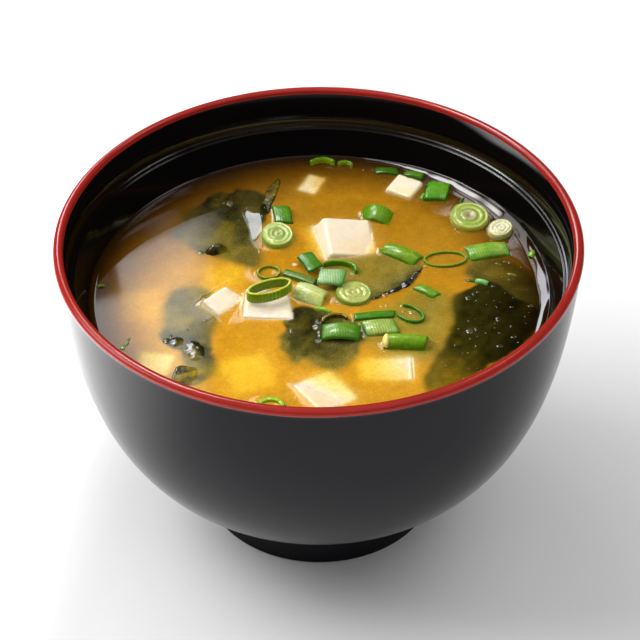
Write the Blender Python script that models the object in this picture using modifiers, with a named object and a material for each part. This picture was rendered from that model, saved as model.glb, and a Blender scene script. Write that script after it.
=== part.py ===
"""A bowl of miso soup: a lacquered bowl with a foot ring, the broth in it, and the tofu, wakame and
spring-onion slices that break the broth's surface.

Metres, +Z up. The origin is the centre of the foot ring's underside, so the bowl stands on Z = 0.
"""
import math

import bmesh
import bpy
from mathutils import Matrix, Vector

MM = 0.001

# ---------------------------------------------------------------- bowl
RIM_R = 58.0 * MM          # widest circle of the lip: the bowl is 116 mm across
RIM_Z = 73.4 * MM          # height of that circle
LIP_TOP = 74.2 * MM        # highest line of the rounded lip
LIP_W = 2.25 * MM          # width of the lip across its flat top
LIP_GROOVE = 0.35 * MM     # how far the body steps in under the lip
BODY_TOP_Z = 71.9 * MM
BODY_PULL_TOP = 42.4 * MM  # length of the near-straight upper flank
BODY_FLARE = 3.9           # degrees that the flank leans outward
BODY_PULL_LOW = 21.1 * MM  # length of the rounding into the foot
BODY_LOW_SLOPE = 26.6      # degrees of the belly where it meets the foot
FOOT_TOP_R = 25.2 * MM
FOOT_TOP_Z = 9.2 * MM
FOOT_R = 27.0 * MM        # foot ring, outer radius at the ground
FOOT_IN_R = 23.3 * MM
FOOT_RECESS = 3.5 * MM
LEDGE_R = 54.70 * MM       # upper edge of the small ledge inside the bowl
LEDGE_Z = 65.05 * MM
LEDGE_STEP = 0.75 * MM     # how far the ledge steps in
LEDGE_DROP = 0.65 * MM
WALL_LEAN = 26.9           # degrees the wall leans in below the ledge
WALL_LEAN_END_Z = 56.6 * MM
WELL_Z = 11.5 * MM         # inside bottom of the bowl
WELL_FLAT_R = 15.0 * MM
TURN_STEPS = 48

# ---------------------------------------------------------------- broth
LEVEL = 58.4 * MM
MENISCUS_W = 2.3 * MM
MENISCUS_H = 1.0 * MM
GAP = 0.3 * MM             # clearance between touching pieces

# ---------------------------------------------------------------- scene clean-up and helpers
for old in list(bpy.data.objects):
    bpy.data.objects.remove(old, do_unlink=True)

parts = bpy.data.collections.new("miso_soup")
cutters = bpy.data.collections.new("cutters")
bpy.context.scene.collection.children.link(parts)
bpy.context.scene.collection.children.link(cutters)


def material(name, colour, rough, metal=0.0):
    mat = bpy.data.materials.new(name)
    mat.use_nodes = True
    node = next(n for n in mat.node_tree.nodes if n.type == "BSDF_PRINCIPLED")
    node.inputs["Base Color"].default_value = (*colour, 1.0)
    node.inputs["Roughness"].default_value = rough
    node.inputs["Metallic"].default_value = metal
    mat.diffuse_color = (*colour, 1.0)
    return mat


LACQUER = material("lacquer_black", (0.012, 0.011, 0.012), 0.32)
BROTH = material("broth", (0.55, 0.25, 0.04), 0.12)
TOFU = material("tofu_white", (0.93, 0.84, 0.66), 0.45)
WAKAME = material("wakame_green", (0.03, 0.045, 0.01), 0.2)
ONION = material("onion_green", (0.12, 0.30, 0.02), 0.3)
ONION_PALE = material("onion_pale", (0.62, 0.68, 0.30), 0.35)


def bezier(p0, p1, p2, p3, steps):
    out = []
    for i in range(steps + 1):
        t = i / steps
        s = 1.0 - t
        out.append(tuple(s**3 * a + 3 * s * s * t * b + 3 * s * t * t * c + t**3 * d
                         for a, b, c, d in zip(p0, p1, p2, p3)))
    return out


def profile_object(name, points, mat):
    """A turned piece: the half profile in the XZ plane, with a Screw modifier."""
    mesh = bpy.data.meshes.new(name)
    mesh.from_pydata([(r, 0.0, z) for r, z in points], [(i, i + 1) for i in range(len(points) - 1)], [])
    obj = bpy.data.objects.new(name, mesh)
    parts.objects.link(obj)
    screw = obj.modifiers.new("turn", "SCREW")
    screw.axis = "Z"
    screw.angle = math.radians(360)
    screw.steps = TURN_STEPS
    screw.render_steps = TURN_STEPS
    screw.use_merge_vertices = True
    screw.merge_threshold = 0.00001
    screw.use_smooth_shade = True
    mesh.materials.append(mat)
    return obj


# ---------------------------------------------------------------- bowl profile
def inner_wall():
    """The inside of the bowl from the ledge down to the middle of the well."""
    lean = math.radians(WALL_LEAN)
    top = (LEDGE_R - LEDGE_STEP, LEDGE_Z - LEDGE_DROP)
    drop = top[1] - WALL_LEAN_END_Z
    low = (top[0] - math.tan(lean) * drop, WALL_LEAN_END_Z)
    a = (low[0] - 6.5 * MM * math.sin(lean), low[1] - 6.5 * MM * math.cos(lean))
    b = (WELL_FLAT_R + 28.0 * MM, WELL_Z)
    return [top] + bezier(low, a, b, (WELL_FLAT_R, WELL_Z), 6) + [(0.0, WELL_Z)]


def outer_wall():
    top = (RIM_R - LIP_GROOVE, BODY_TOP_Z)
    lean, low = math.radians(BODY_FLARE), math.radians(BODY_LOW_SLOPE)
    a = (top[0] - BODY_PULL_TOP * math.sin(lean), top[1] - BODY_PULL_TOP * math.cos(lean))
    end = (FOOT_TOP_R, FOOT_TOP_Z)
    b = (end[0] + BODY_PULL_LOW * math.cos(low), end[1] + BODY_PULL_LOW * math.sin(low))
    return bezier(top, a, b, end, 9)


def lip():
    """The rounded lip, from its inner edge over the top to the widest circle."""
    x0, x1 = RIM_R - LIP_W, RIM_R
    h = LIP_TOP - RIM_Z
    return [
        (x0, RIM_Z - 0.3 * MM),
        (x0 + 0.22 * MM, RIM_Z + 0.45 * h),
        (x0 + 0.75 * MM, LIP_TOP - 0.06 * MM),
        (x0 + 1.25 * MM, LIP_TOP),
        (x1 - 0.42 * MM, RIM_Z + 0.72 * h),
        (x1 - 0.06 * MM, RIM_Z + 0.25 * h),
        (x1, RIM_Z - 0.15 * MM),
        (x1 - 0.12 * MM, RIM_Z - 0.8 * MM),
    ]


wall = inner_wall()
bowl_profile = list(reversed(wall)) + [(LEDGE_R, LEDGE_Z)] + lip() + outer_wall() + [
    (FOOT_TOP_R + 0.25 * MM, FOOT_TOP_Z - 1.0 * MM),
    (FOOT_R - 0.1 * MM, 1.0 * MM),
    (FOOT_R, 0.45 * MM),
    (FOOT_R - 0.4 * MM, 0.0),
    (FOOT_IN_R + 0.3 * MM, 0.0),
    (FOOT_IN_R, 0.4 * MM),
    (FOOT_IN_R - 0.3 * MM, FOOT_RECESS),
    (0.0, FOOT_RECESS),
]
bowl = profile_object("bowl", bowl_profile, LACQUER)


# ---------------------------------------------------------------- broth
def offset_inward(line, gap):
    """The polyline moved by gap to its left-hand, inner side; its last point stays on the axis."""
    out = []
    for i, (r, z) in enumerate(line):
        a = line[max(i - 1, 0)]
        b = line[min(i + 1, len(line) - 1)]
        d = Vector((b[0] - a[0], b[1] - a[1])).normalized()
        out.append((max(r + d.y * gap, 0.0), z - d.x * gap))
    out[-1] = (0.0, out[-2][1])
    return out


def broth_profile():
    side = offset_inward(wall, 1.15 * GAP)
    lean = math.radians(WALL_LEAN)
    contact_z = LEVEL + MENISCUS_H
    contact_r = side[0][0] - (side[0][1] - contact_z) * math.tan(lean)
    flat_r = contact_r - MENISCUS_W
    top = [(0.0, LEVEL), (flat_r * 0.55, LEVEL), (flat_r, LEVEL)]
    for k in range(1, 4):
        t = k / 3.0
        top.append((flat_r + MENISCUS_W * (1 - (1 - t) ** 1.25), LEVEL + MENISCUS_H * t**2.2))
    return top + [p for p in side[1:] if p[1] < LEVEL - 1.0 * MM]


soup = profile_object("soup", broth_profile(), BROTH)


# ---------------------------------------------------------------- pieces in the broth
def turned(x, y, lift, yaw, roll, pitch):
    """Placement: x, y and height above the broth in millimetres, angles in degrees."""
    rot = Matrix.Rotation(math.radians(yaw), 4, "Z") @ Matrix.Rotation(math.radians(pitch), 4, "X") \
        @ Matrix.Rotation(math.radians(roll), 4, "Y")
    return Matrix.Translation((x * MM, y * MM, LEVEL + lift * MM)) @ rot


def new_object(name, bm, mat, place, cutter=False):
    bmesh.ops.recalc_face_normals(bm, faces=bm.faces)
    mesh = bpy.data.meshes.new(name)
    bm.to_mesh(mesh)
    bm.free()
    obj = bpy.data.objects.new(name, mesh)
    obj.matrix_world = place
    if cutter:
        cutters.objects.link(obj)
        obj.hide_render = True
        obj.display_type = "WIRE"
    else:
        parts.objects.link(obj)
        mesh.materials.append(mat)
        mesh.shade_smooth()
        mesh.set_sharp_from_angle(angle=math.radians(40))
    return obj


def add(name, maker, mat, place, sizes):
    """One piece, and a slightly larger copy of it that hollows its seat in the broth."""
    piece = new_object(name, maker(grow=0.0, **sizes), mat, place)
    seat = new_object(name + "_seat", maker(grow=GAP, **sizes), mat, place, cutter=True)
    cut = soup.modifiers.new(name, "BOOLEAN")
    cut.operation = "DIFFERENCE"
    cut.object = seat
    return piece


def block(grow, length, width, depth, taper=0.0, narrow=0.0, soft=0.5):
    """A cut cube of bean curd: its top face centred on the origin, the rest below it."""
    bm = bmesh.new()
    bmesh.ops.create_cube(bm, size=1.0)
    for v in bm.verts:
        low = 0.5 - v.co.z
        spread = 1.0 + taper * low
        slant = narrow * MM * (v.co.x + 0.5) * (v.co.y + 0.5)
        v.co = Vector((v.co.x * (length * MM * spread + 2 * grow) - slant,
                       v.co.y * (width * MM * spread + 2 * grow), (grow if low < 0.5 else -depth * MM - grow)))
    if grow == 0.0:
        bmesh.ops.bevel(bm, geom=bm.edges[:], offset=soft * MM, segments=1, affect="EDGES", profile=0.5)
    return bm


def tube_slice(grow, length, width, wall, height, start=0.0, sweep=360.0, steps=16):
    """A slice across a hollow green stalk: an oval ring, or a part of one."""
    bm = bmesh.new()
    a, b = length * MM / 2, width * MM / 2
    w, h = wall * MM + 2 * grow, height * MM / 2 + grow
    whole = sweep > 359.0
    n = steps if whole else max(5, int(steps * sweep / 360.0) + 1)
    over = 0.0 if whole else grow / max(min(a, b), 0.5 * MM)
    first = math.radians(start) - over
    span = math.radians(sweep) + 2 * over
    rings = []
    for i in range(n if whole else n + 1):
        ang = first + span * i / n
        c, s = math.cos(ang), math.sin(ang)
        edge = []
        for off, z in ((grow, -h), (grow, h), (grow - w, h), (grow - w, -h)):
            edge.append(bm.verts.new(((a + off) * c, (b + off) * s, z)))
        rings.append(edge)
    for i in range(len(rings) - (0 if whole else 1)):
        p, q = rings[i], rings[(i + 1) % len(rings)]
        for k in range(4):
            bm.faces.new((p[k], p[(k + 1) % 4], q[(k + 1) % 4], q[k]))
    if not whole:
        bm.faces.new(rings[0])
        bm.faces.new(list(reversed(rings[-1])))
    return bm


def solid_slice(grow, length, width, height, dome=0.25, steps=14):
    """A slice of the firm pale stalk: an oval disc with a slightly raised middle."""
    bm = bmesh.new()
    bmesh.ops.create_cone(bm, cap_ends=True, segments=steps, radius1=0.5, radius2=0.5, depth=1.0)
    for v in bm.verts:
        v.co = Vector((v.co.x * (length * MM + 2 * grow), v.co.y * (width * MM + 2 * grow),
                       v.co.z * (height * MM + 2 * grow)))
    if grow == 0.0:
        bmesh.ops.bevel(bm, geom=[e for e in bm.edges if abs(e.verts[0].co.z - e.verts[1].co.z) < 1e-9],
                        offset=dome * MM, segments=1, affect="EDGES", profile=0.5)
    return bm


def leaf_strip(grow, length, width, thick, camber=0.0, bend=0.0, nx=3, ny=2):
    """A short length of green leaf: a strip arched across its width and bent along its length."""
    bm = bmesh.new()
    bmesh.ops.create_grid(bm, x_segments=nx, y_segments=ny, size=0.5)
    under = {}
    lx, ly = length * MM + 2 * grow, width * MM + 2 * grow
    top = [v for v in bm.verts]
    faces = list(bm.faces)
    for v in top:
        u, w = v.co.x, v.co.y
        z = camber * MM * (1 - 4 * w * w) + bend * MM * (1 - 4 * u * u)
        v.co = Vector((u * lx, w * ly, z + grow))
        under[v] = bm.verts.new((v.co.x, v.co.y, v.co.z - thick * MM - 2 * grow))
    rim = [e for e in bm.edges if e.is_boundary]
    for f in faces:
        bm.faces.new([under[v] for v in reversed(f.verts)])
    for e in rim:
        a, b = e.verts
        bm.faces.new((a, b, under[b], under[a]))
    return bm


def frond(grow, length, width, thick, bow=0.0, ruffle=0.0, waves=3, phase=0.0, lift=0.25, nx=9, ny=2):
    """A piece of sea-vegetable leaf: pointed at both ends, with a ruffled edge, lying nearly flat."""
    bm = bmesh.new()
    bmesh.ops.create_grid(bm, x_segments=nx, y_segments=ny, size=0.5)
    under = {}
    faces = list(bm.faces)
    for v in [v for v in bm.verts]:
        u, w = v.co.x, v.co.y
        t = u + 0.5
        breadth = (0.16 + 0.84 * math.sin(math.pi * min(max(t, 0.0), 1.0)) ** 0.55)
        breadth *= 1.0 + ruffle * math.sin(waves * 2 * math.pi * t + phase + (0.0 if w > 0 else 1.7))
        x = u * (length * MM + 2 * grow)
        y = w * (width * MM * breadth + 2 * grow) + bow * MM * (1 - 4 * u * u)
        z = lift * MM * math.cos(5.0 * t + phase) * (0.4 + abs(w)) + grow
        v.co = Vector((x, y, z))
        under[v] = bm.verts.new((x, y, z - thick * MM - 2 * grow))
    rim = [e for e in bm.edges if e.is_boundary]
    for f in faces:
        bm.faces.new([under[v] for v in reversed(f.verts)])
    for e in rim:
        a, b = e.verts
        bm.faces.new((a, b, under[b], under[a]))
    return bm


def row(**sizes):
    return sizes


# Bean curd: centre of the top face (x, y, height over the broth), then yaw, roll, pitch.
BEAN_CURD = [
    ("tofu_middle_back", 7.2, 18.4, 1.1, 9, 12, 7, row(length=11.0, width=12.0, depth=8.5, taper=0.05)),
    ("tofu_small_back", 20.2, 37.9, 1.0, -29, 1, 1, row(length=6.6, width=6.8, depth=5.0)),
    ("tofu_left_high", -10.8, -5.3, 1.0, -3, 1, 7, row(length=11.2, width=9.0, depth=8.0, narrow=2.0)),
    ("tofu_left_low", -21.2, -3.7, 0.7, 47, 3, 14, row(length=7.6, width=5.4, depth=6.5)),
    ("tofu_right_front", 14.3, -26.6, -0.7, 1, -9, 0, row(length=11.8, width=7.4, depth=7.0)),
    ("tofu_front", 1.3, -33.8, 0.0, -58, -4, -8, row(length=11.0, width=9.6, depth=7.0)),
    ("tofu_left_front", -35.6, -24.4, 0.1, -12, -7, 0, row(length=7.4, width=7.0, depth=3.4)),
]
for name, x, y, h, yaw, roll, pitch, sizes in BEAN_CURD:
    add(name, block, TOFU, turned(x, y, h, yaw, roll, pitch), sizes)
trim = bpy.data.objects["tofu_left_low"].modifiers.new("against_neighbour", "BOOLEAN")
trim.operation = "DIFFERENCE"
trim.object = bpy.data.objects["tofu_left_high_seat"]

# Sea vegetable: only the leaves that break the surface.
FRONDS = [
    ("wakame_right", 35.2, -14.4, 0.30, -97, 0, 0, row(length=36.0, width=18.0, thick=1.0, bow=1.6, ruffle=0.06)),
    ("wakame_middle", -2.2, -17.2, 0.20, -84, 0, 0, row(length=17.0, width=9.2, thick=0.9, bow=-0.4, ruffle=0.08, phase=0.8, nx=7)),
    ("wakame_edge_middle", 17.9, 3.3, 0.15, 44, 0, 0, row(length=14.0, width=2.4, thick=0.8, bow=-0.9, ruffle=0.1, nx=6)),
    ("wakame_back", -11.6, 34.6, 0.25, 72, 0, 0, row(length=14.5, width=3.0, thick=0.8, bow=0.6, ruffle=0.1, nx=6)),
    ("wakame_left", -28.8, -17.2, 0.25, -24, 0, 0, row(length=8.8, width=3.2, thick=0.8, bow=-0.5, ruffle=0.1, nx=5)),
    ("wakame_left_front", -27.6, -27.2, 0.20, -18, 0, 0, row(length=7.4, width=3.8, thick=0.7, bow=0.4, ruffle=0.1, nx=5)),
]
for name, x, y, h, yaw, roll, pitch, sizes in FRONDS:
    add(name, frond, WAKAME, turned(x, y, h, yaw, roll, pitch), sizes)

# Spring onion. Slices stand at their own height and tilt; those in the middle lie on each other.
ONIONS = [
    ("onion_back_left", tube_slice, ONION, 1.0, 44.6, 0.2, 0, 0, 0, row(length=8.4, width=9.0, wall=0.9, height=2.6, start=38, sweep=104, steps=18)),
    ("onion_back_right", tube_slice, ONION, 6.2, 44.2, 0.1, -6, 0, 0, row(length=5.4, width=8.0, wall=0.8, height=2.0, start=40, sweep=100, steps=18)),
    ("onion_back_flat", leaf_strip, ONION, 16.2, 44.6, 0.45, -4, 0, 0, row(length=5.6, width=2.6, thick=0.8, camber=0.2)),
    ("onion_back_small", leaf_strip, ONION, 22.6, 42.4, 1.0, -16, 0, 0, row(length=4.6, width=2.4, thick=1.0, camber=0.2)),
    ("onion_square", leaf_strip, ONION, 27.8, 35.8, 1.1, -4, 3, 4, row(length=5.4, width=6.2, thick=1.5, camber=0.4)),
    ("onion_hood", leaf_strip, ONION, 13.5, 27.4, 0.2, -24, 0, 10, row(length=7.0, width=4.8, thick=0.8, camber=0.5, bend=1.1, nx=5)),
    ("onion_ringed_right", solid_slice, ONION_PALE, 34.7, 25.8, 0.3, 0, 2, 2, row(length=9.0, width=9.6, height=2.4)),
    ("onion_pale_right", solid_slice, ONION_PALE, 41.6, 21.0, 0.2, -38, 0, 5, row(length=5.6, width=6.0, height=2.8)),
    ("onion_saddle", leaf_strip, ONION, 18.6, 12.7, 0.8, -34, 0, 8, row(length=9.2, width=4.2, thick=0.8, camber=0.7)),
    ("onion_thin_ring", tube_slice, ONION, 28.6, 10.7, 0.1, 4, 0, 0, row(length=9.8, width=5.8, wall=0.55, height=1.3, steps=18)),
    ("onion_ribbed_right", leaf_strip, ONION, 38.3, 13.4, 0.9, 12, 0, 4, row(length=9.6, width=4.8, thick=0.9, camber=0.6)),
    ("onion_bent_small", leaf_strip, ONION, 24.0, -0.5, 0.6, -38, 0, 0, row(length=5.8, width=2.6, thick=0.9, camber=0.3)),
    ("onion_ringed_left", solid_slice, ONION_PALE, -9.4, 19.5, 0.2, 0, 2, 2, row(length=7.2, width=8.4, height=2.4)),
    ("onion_behind_left", leaf_strip, ONION, -8.3, 27.4, 0.9, -3, 0, 6, row(length=4.2, width=5.8, thick=0.9, camber=0.3)),
    ("onion_small_ring", tube_slice, ONION, -11.2, 6.2, 0.2, 10, 0, 0, row(length=5.4, width=4.8, wall=0.5, height=1.4, steps=14)),
    ("onion_oval_ring", tube_slice, ONION, -11.0, -3.3, 3.1, 23, 0, 0, row(length=10.8, width=5.0, wall=0.8, height=2.6, steps=20)),
    ("onion_dark_strip", leaf_strip, ONION, -4.2, 4.2, 1.0, -29, 0, 0, row(length=8.2, width=2.4, thick=0.8, camber=0.2)),
    ("onion_ragged", leaf_strip, ONION, -1.9, 8.5, 2.0, -64, 0, 0, row(length=6.0, width=4.0, thick=0.7, camber=0.3)),
    ("onion_half_ring", tube_slice, ONION, 4.4, 6.6, 0.5, -6, 0, 0, row(length=8.8, width=6.4, wall=0.8, height=2.0, start=-10, sweep=158, steps=16)),
    ("onion_ribbed_middle", leaf_strip, ONION_PALE, 2.9, 2.2, 2.6, -6, 0, 8, row(length=5.8, width=4.6, thick=0.8, camber=0.3)),
    ("onion_pale_thick", leaf_strip, ONION_PALE, -1.9, -1.7, 0.5, -30, 0, 6, row(length=7.2, width=5.4, thick=1.3, camber=1.3, ny=4)),
    ("onion_pale_disc", solid_slice, ONION_PALE, 7.8, -1.7, 0.1, 0, 2, 2, row(length=8.0, width=7.6, height=2.2)),
    ("onion_long_strip", leaf_strip, ONION, 12.2, -9.0, 0.7, 7, 0, 0, row(length=9.0, width=2.4, thick=0.8, camber=0.2)),
    ("onion_loop", tube_slice, ONION, 19.8, -8.6, 0.3, -40, 0, 0, row(length=7.8, width=5.0, wall=0.55, height=1.4, start=-120, sweep=262, steps=18)),
    ("onion_ribbed_front", leaf_strip, ONION, 13.4, -13.4, 1.0, 6, 0, 5, row(length=7.4, width=4.4, thick=0.9, camber=0.4)),
    ("onion_front_green", leaf_strip, ONION, 4.8, -15.4, 1.6, -2, 0, 8, row(length=8.4, width=4.4, thick=0.8, camber=0.4)),
    ("onion_white_green", leaf_strip, ONION, 18.5, -18.8, 1.4, -6, 0, 0, row(length=9.8, width=4.2, thick=2.0, camber=0.7)),
    ("onion_front_edge", tube_slice, ONION, -10.2, -38.6, 0.0, -8, 0, 0, row(length=6.2, width=5.4, wall=1.2, height=1.4, start=5, sweep=170, steps=16)),
]
for name, maker, mat, x, y, h, yaw, roll, pitch, sizes in ONIONS:
    add(name, maker, mat, turned(x, y, h, yaw, roll, pitch), sizes)
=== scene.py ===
import math

import bmesh
import bpy
import numpy as np
from mathutils import Matrix, Vector
from mathutils.bvhtree import BVHTree
from mathutils.geometry import delaunay_2d_cdt


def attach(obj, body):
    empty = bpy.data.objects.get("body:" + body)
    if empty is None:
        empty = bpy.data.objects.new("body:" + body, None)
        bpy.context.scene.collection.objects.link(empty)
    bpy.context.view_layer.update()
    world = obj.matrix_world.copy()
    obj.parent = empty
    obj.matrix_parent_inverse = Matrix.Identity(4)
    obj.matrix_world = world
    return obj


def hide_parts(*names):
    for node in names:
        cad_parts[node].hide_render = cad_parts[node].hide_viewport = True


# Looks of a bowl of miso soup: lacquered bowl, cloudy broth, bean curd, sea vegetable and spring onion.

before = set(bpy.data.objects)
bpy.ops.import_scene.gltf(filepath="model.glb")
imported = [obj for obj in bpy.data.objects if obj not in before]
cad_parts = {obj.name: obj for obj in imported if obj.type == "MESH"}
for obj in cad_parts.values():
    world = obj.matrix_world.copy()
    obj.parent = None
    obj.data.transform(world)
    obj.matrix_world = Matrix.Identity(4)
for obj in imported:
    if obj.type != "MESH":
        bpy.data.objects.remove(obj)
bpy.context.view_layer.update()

MM = 0.001
scene = bpy.context.scene

# ---------------------------------------------------------------- sizes shared with the CAD model
RIM_R, RIM_Z, LIP_TOP, LIP_W, LIP_GROOVE = 58.0, 73.4, 74.2, 2.25, 0.35
BODY_TOP_Z, BODY_PULL_TOP, BODY_FLARE, BODY_PULL_LOW, BODY_LOW_SLOPE = 71.9, 42.4, 3.9, 21.1, 26.6
FOOT_TOP_R, FOOT_TOP_Z, FOOT_R, FOOT_IN_R, FOOT_RECESS = 25.2, 9.2, 27.0, 23.3, 3.5
LEDGE_R, LEDGE_Z, LEDGE_STEP, LEDGE_DROP = 54.70, 65.05, 0.75, 0.65
WALL_LEAN, WALL_LEAN_END_Z, WELL_Z, WELL_FLAT_R = 26.9, 56.6, 11.5, 15.0
LEVEL, MENISCUS_W, MENISCUS_H = 58.4, 3.1, 1.15
WET_R = 51.41                                   # where the broth meets the wall


# ---------------------------------------------------------------- seeded noise, on arrays
def _hash(ix, iy, iz, seed):
    n = (ix * 374761393 + iy * 668265263 + iz * 1442695041 + seed * 974634777) & 0xFFFFFFFF
    n = ((n ^ (n >> 13)) * 1274126177) & 0xFFFFFFFF
    n = (n ^ (n >> 16)) & 0xFFFFFFFF
    n = (n * 668265263) & 0xFFFFFFFF
    n = n ^ (n >> 15)
    return (n & 0xFFFF) / 32767.5 - 1.0


def vnoise(p, seed=0):
    p = np.asarray(p, float)
    i = np.floor(p).astype(np.int64)
    f = p - i
    f = f * f * (3 - 2 * f)
    out = 0.0
    for dx in (0, 1):
        for dy in (0, 1):
            for dz in (0, 1):
                w = (f[:, 0] if dx else 1 - f[:, 0]) * (f[:, 1] if dy else 1 - f[:, 1]) * (f[:, 2] if dz else 1 - f[:, 2])
                out = out + w * _hash(i[:, 0] + dx, i[:, 1] + dy, i[:, 2] + dz, seed)
    return out


def fbm(p, octaves=3, seed=0):
    p = np.asarray(p, float)
    out, amp, tot = 0.0, 1.0, 0.0
    for k in range(octaves):
        out = out + amp * vnoise(p * 2.03 ** k + 17.3 * k, seed + k)
        tot += amp
        amp *= 0.5
    return out / tot


def smooth(a, b, x):
    t = np.clip((np.asarray(x, float) - a) / (b - a), 0, 1)
    return t * t * (3 - 2 * t)


def lin(r, g, b):
    """A screen colour, 0 to 255, as the linear numbers the shader takes."""
    out = []
    for c in (r, g, b):
        c = c / 255.0
        out.append(c / 12.92 if c <= 0.04045 else ((c + 0.055) / 1.055) ** 2.4)
    return np.array(out)


# ---------------------------------------------------------------- mesh helpers; sizes in millimetres
def build(name, verts, faces, mats, tint=None, slots=None, place=None, smooth_angle=None):
    verts = np.asarray(verts, float) * MM
    me = bpy.data.meshes.new(name)
    me.from_pydata([tuple(v) for v in verts], [], faces)
    me.update()
    if tint is not None:
        att = me.attributes.new("tint", "FLOAT_COLOR", "POINT")
        rgba = np.ones((len(verts), 4), np.float32)
        rgba[:, :3] = np.clip(tint, 0, 1)
        att.data.foreach_set("color", rgba.ravel())
    for m in (mats if isinstance(mats, (list, tuple)) else [mats]):
        me.materials.append(m)
    if slots is not None:
        me.polygons.foreach_set("material_index", np.asarray(slots, np.int32))
    bm = bmesh.new()
    bm.from_mesh(me)
    bmesh.ops.recalc_face_normals(bm, faces=bm.faces)
    bm.to_mesh(me)
    bm.free()
    me.shade_smooth()
    if smooth_angle:
        me.set_sharp_from_angle(angle=math.radians(smooth_angle))
    obj = bpy.data.objects.new(name, me)
    scene.collection.objects.link(obj)
    if place is not None:
        obj.data.transform(place)
        obj.data.update()
    return obj


def turned(x, y, lift, yaw, roll, pitch):
    rot = Matrix.Rotation(math.radians(yaw), 4, "Z") @ Matrix.Rotation(math.radians(pitch), 4, "X") \
        @ Matrix.Rotation(math.radians(roll), 4, "Y")
    return Matrix.Translation((x * MM, y * MM, (LEVEL + lift) * MM)) @ rot


def grid_faces(n, m, wrap_n=False, wrap_m=False, base=0):
    faces = []
    for i in range(n if wrap_n else n - 1):
        for j in range(m if wrap_m else m - 1):
            a = base + i * m + j
            b = base + ((i + 1) % n) * m + j
            c = base + ((i + 1) % n) * m + (j + 1) % m
            d = base + i * m + (j + 1) % m
            faces.append((a, b, c, d))
    return faces


# ---------------------------------------------------------------- materials
def new_mat(name, rough=0.4, ior=1.45, metal=0.0, sss=0.0, sss_scale=0.001, radius=(1, 1, 1), coat=0.0, coat_rough=0.1):
    mat = bpy.data.materials.new(name)
    mat.use_nodes = True
    nt = mat.node_tree
    bsdf = next(n for n in nt.nodes if n.type == "BSDF_PRINCIPLED")
    bsdf.inputs["Roughness"].default_value = rough
    bsdf.inputs["IOR"].default_value = ior
    bsdf.inputs["Metallic"].default_value = metal
    bsdf.inputs["Subsurface Weight"].default_value = sss
    bsdf.inputs["Subsurface Scale"].default_value = sss_scale
    bsdf.inputs["Subsurface Radius"].default_value = radius
    bsdf.inputs["Coat Weight"].default_value = coat
    bsdf.inputs["Coat Roughness"].default_value = coat_rough
    return mat, nt, bsdf


def node(nt, kind, **props):
    n = nt.nodes.new(kind)
    for k, v in props.items():
        if k in n.inputs:
            n.inputs[k].default_value = v
        else:
            setattr(n, k, v)
    return n


def noise_node(nt, scale, detail=3.0, rough=0.5, coord=None, stretch=None):
    tc = coord or node(nt, "ShaderNodeTexCoord")
    out = tc.outputs["Object"]
    if stretch:
        mp = node(nt, "ShaderNodeMapping")
        mp.inputs["Scale"].default_value = stretch
        nt.links.new(out, mp.inputs["Vector"])
        out = mp.outputs["Vector"]
    n = node(nt, "ShaderNodeTexNoise")
    n.inputs["Scale"].default_value = scale
    n.inputs["Detail"].default_value = detail
    n.inputs["Roughness"].default_value = rough
    nt.links.new(out, n.inputs["Vector"])
    return n.outputs["Fac"]


def remap(nt, value, lo, hi, fr=0.3, to=0.7):
    m = node(nt, "ShaderNodeMapRange")
    m.inputs["From Min"].default_value = fr
    m.inputs["From Max"].default_value = to
    m.inputs["To Min"].default_value = lo
    m.inputs["To Max"].default_value = hi
    nt.links.new(value, m.inputs["Value"])
    return m.outputs["Result"]


def times(nt, a, b):
    m = node(nt, "ShaderNodeMath", operation="MULTIPLY")
    nt.links.new(a, m.inputs[0])
    nt.links.new(b, m.inputs[1])
    return m.outputs[0]


def scaled(nt, colour, factor):
    """colour times a grey factor."""
    m = node(nt, "ShaderNodeVectorMath", operation="SCALE")
    nt.links.new(colour, m.inputs[0])
    nt.links.new(factor, m.inputs["Scale"])
    return m.outputs[0]


def mix(nt, fac, a, b):
    m = node(nt, "ShaderNodeMix", data_type="RGBA")
    if isinstance(fac, (int, float)):
        m.inputs[0].default_value = fac
    else:
        nt.links.new(fac, m.inputs[0])
    for sock, v in ((m.inputs[6], a), (m.inputs[7], b)):
        if hasattr(v, "links"):
            nt.links.new(v, sock)
        else:
            sock.default_value = (*v, 1.0)
    return m.outputs[2]


def tint_node(nt):
    a = node(nt, "ShaderNodeAttribute", attribute_name="tint")
    return a.outputs["Color"]


def bump(nt, bsdf, height, strength, distance):
    b = node(nt, "ShaderNodeBump")
    b.inputs["Strength"].default_value = strength
    b.inputs["Distance"].default_value = distance
    nt.links.new(height, b.inputs["Height"])
    nt.links.new(b.outputs["Normal"], bsdf.inputs["Normal"])


def lacquer(name, colour, rough, var, bump_scale, bump_strength, ior=1.5):
    mat, nt, bsdf = new_mat(name, rough=rough, ior=ior)
    n = noise_node(nt, 90.0, 4.0)
    dark = [c * 0.8 for c in colour]
    nt.links.new(mix(nt, n, dark, [c * 1.2 for c in colour]), bsdf.inputs["Base Color"])
    nt.links.new(remap(nt, noise_node(nt, 260.0, 4.0), rough - var, rough + var), bsdf.inputs["Roughness"])
    bump(nt, bsdf, noise_node(nt, bump_scale, 3.0), bump_strength, 0.00006)
    return mat


BLACK_OUT = lacquer("lacquer_outside", (0.0040, 0.0037, 0.0062), 0.17, 0.02, 2600.0, 0.12, ior=1.28)
BLACK_IN = lacquer("lacquer_inside", (0.0030, 0.0024, 0.0022), 0.08, 0.02, 1500.0, 0.05, ior=1.40)
RED_LIP = lacquer("lacquer_lip", (0.345, 0.020, 0.014), 0.12, 0.02, 1500.0, 0.06, ior=1.33)


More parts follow.
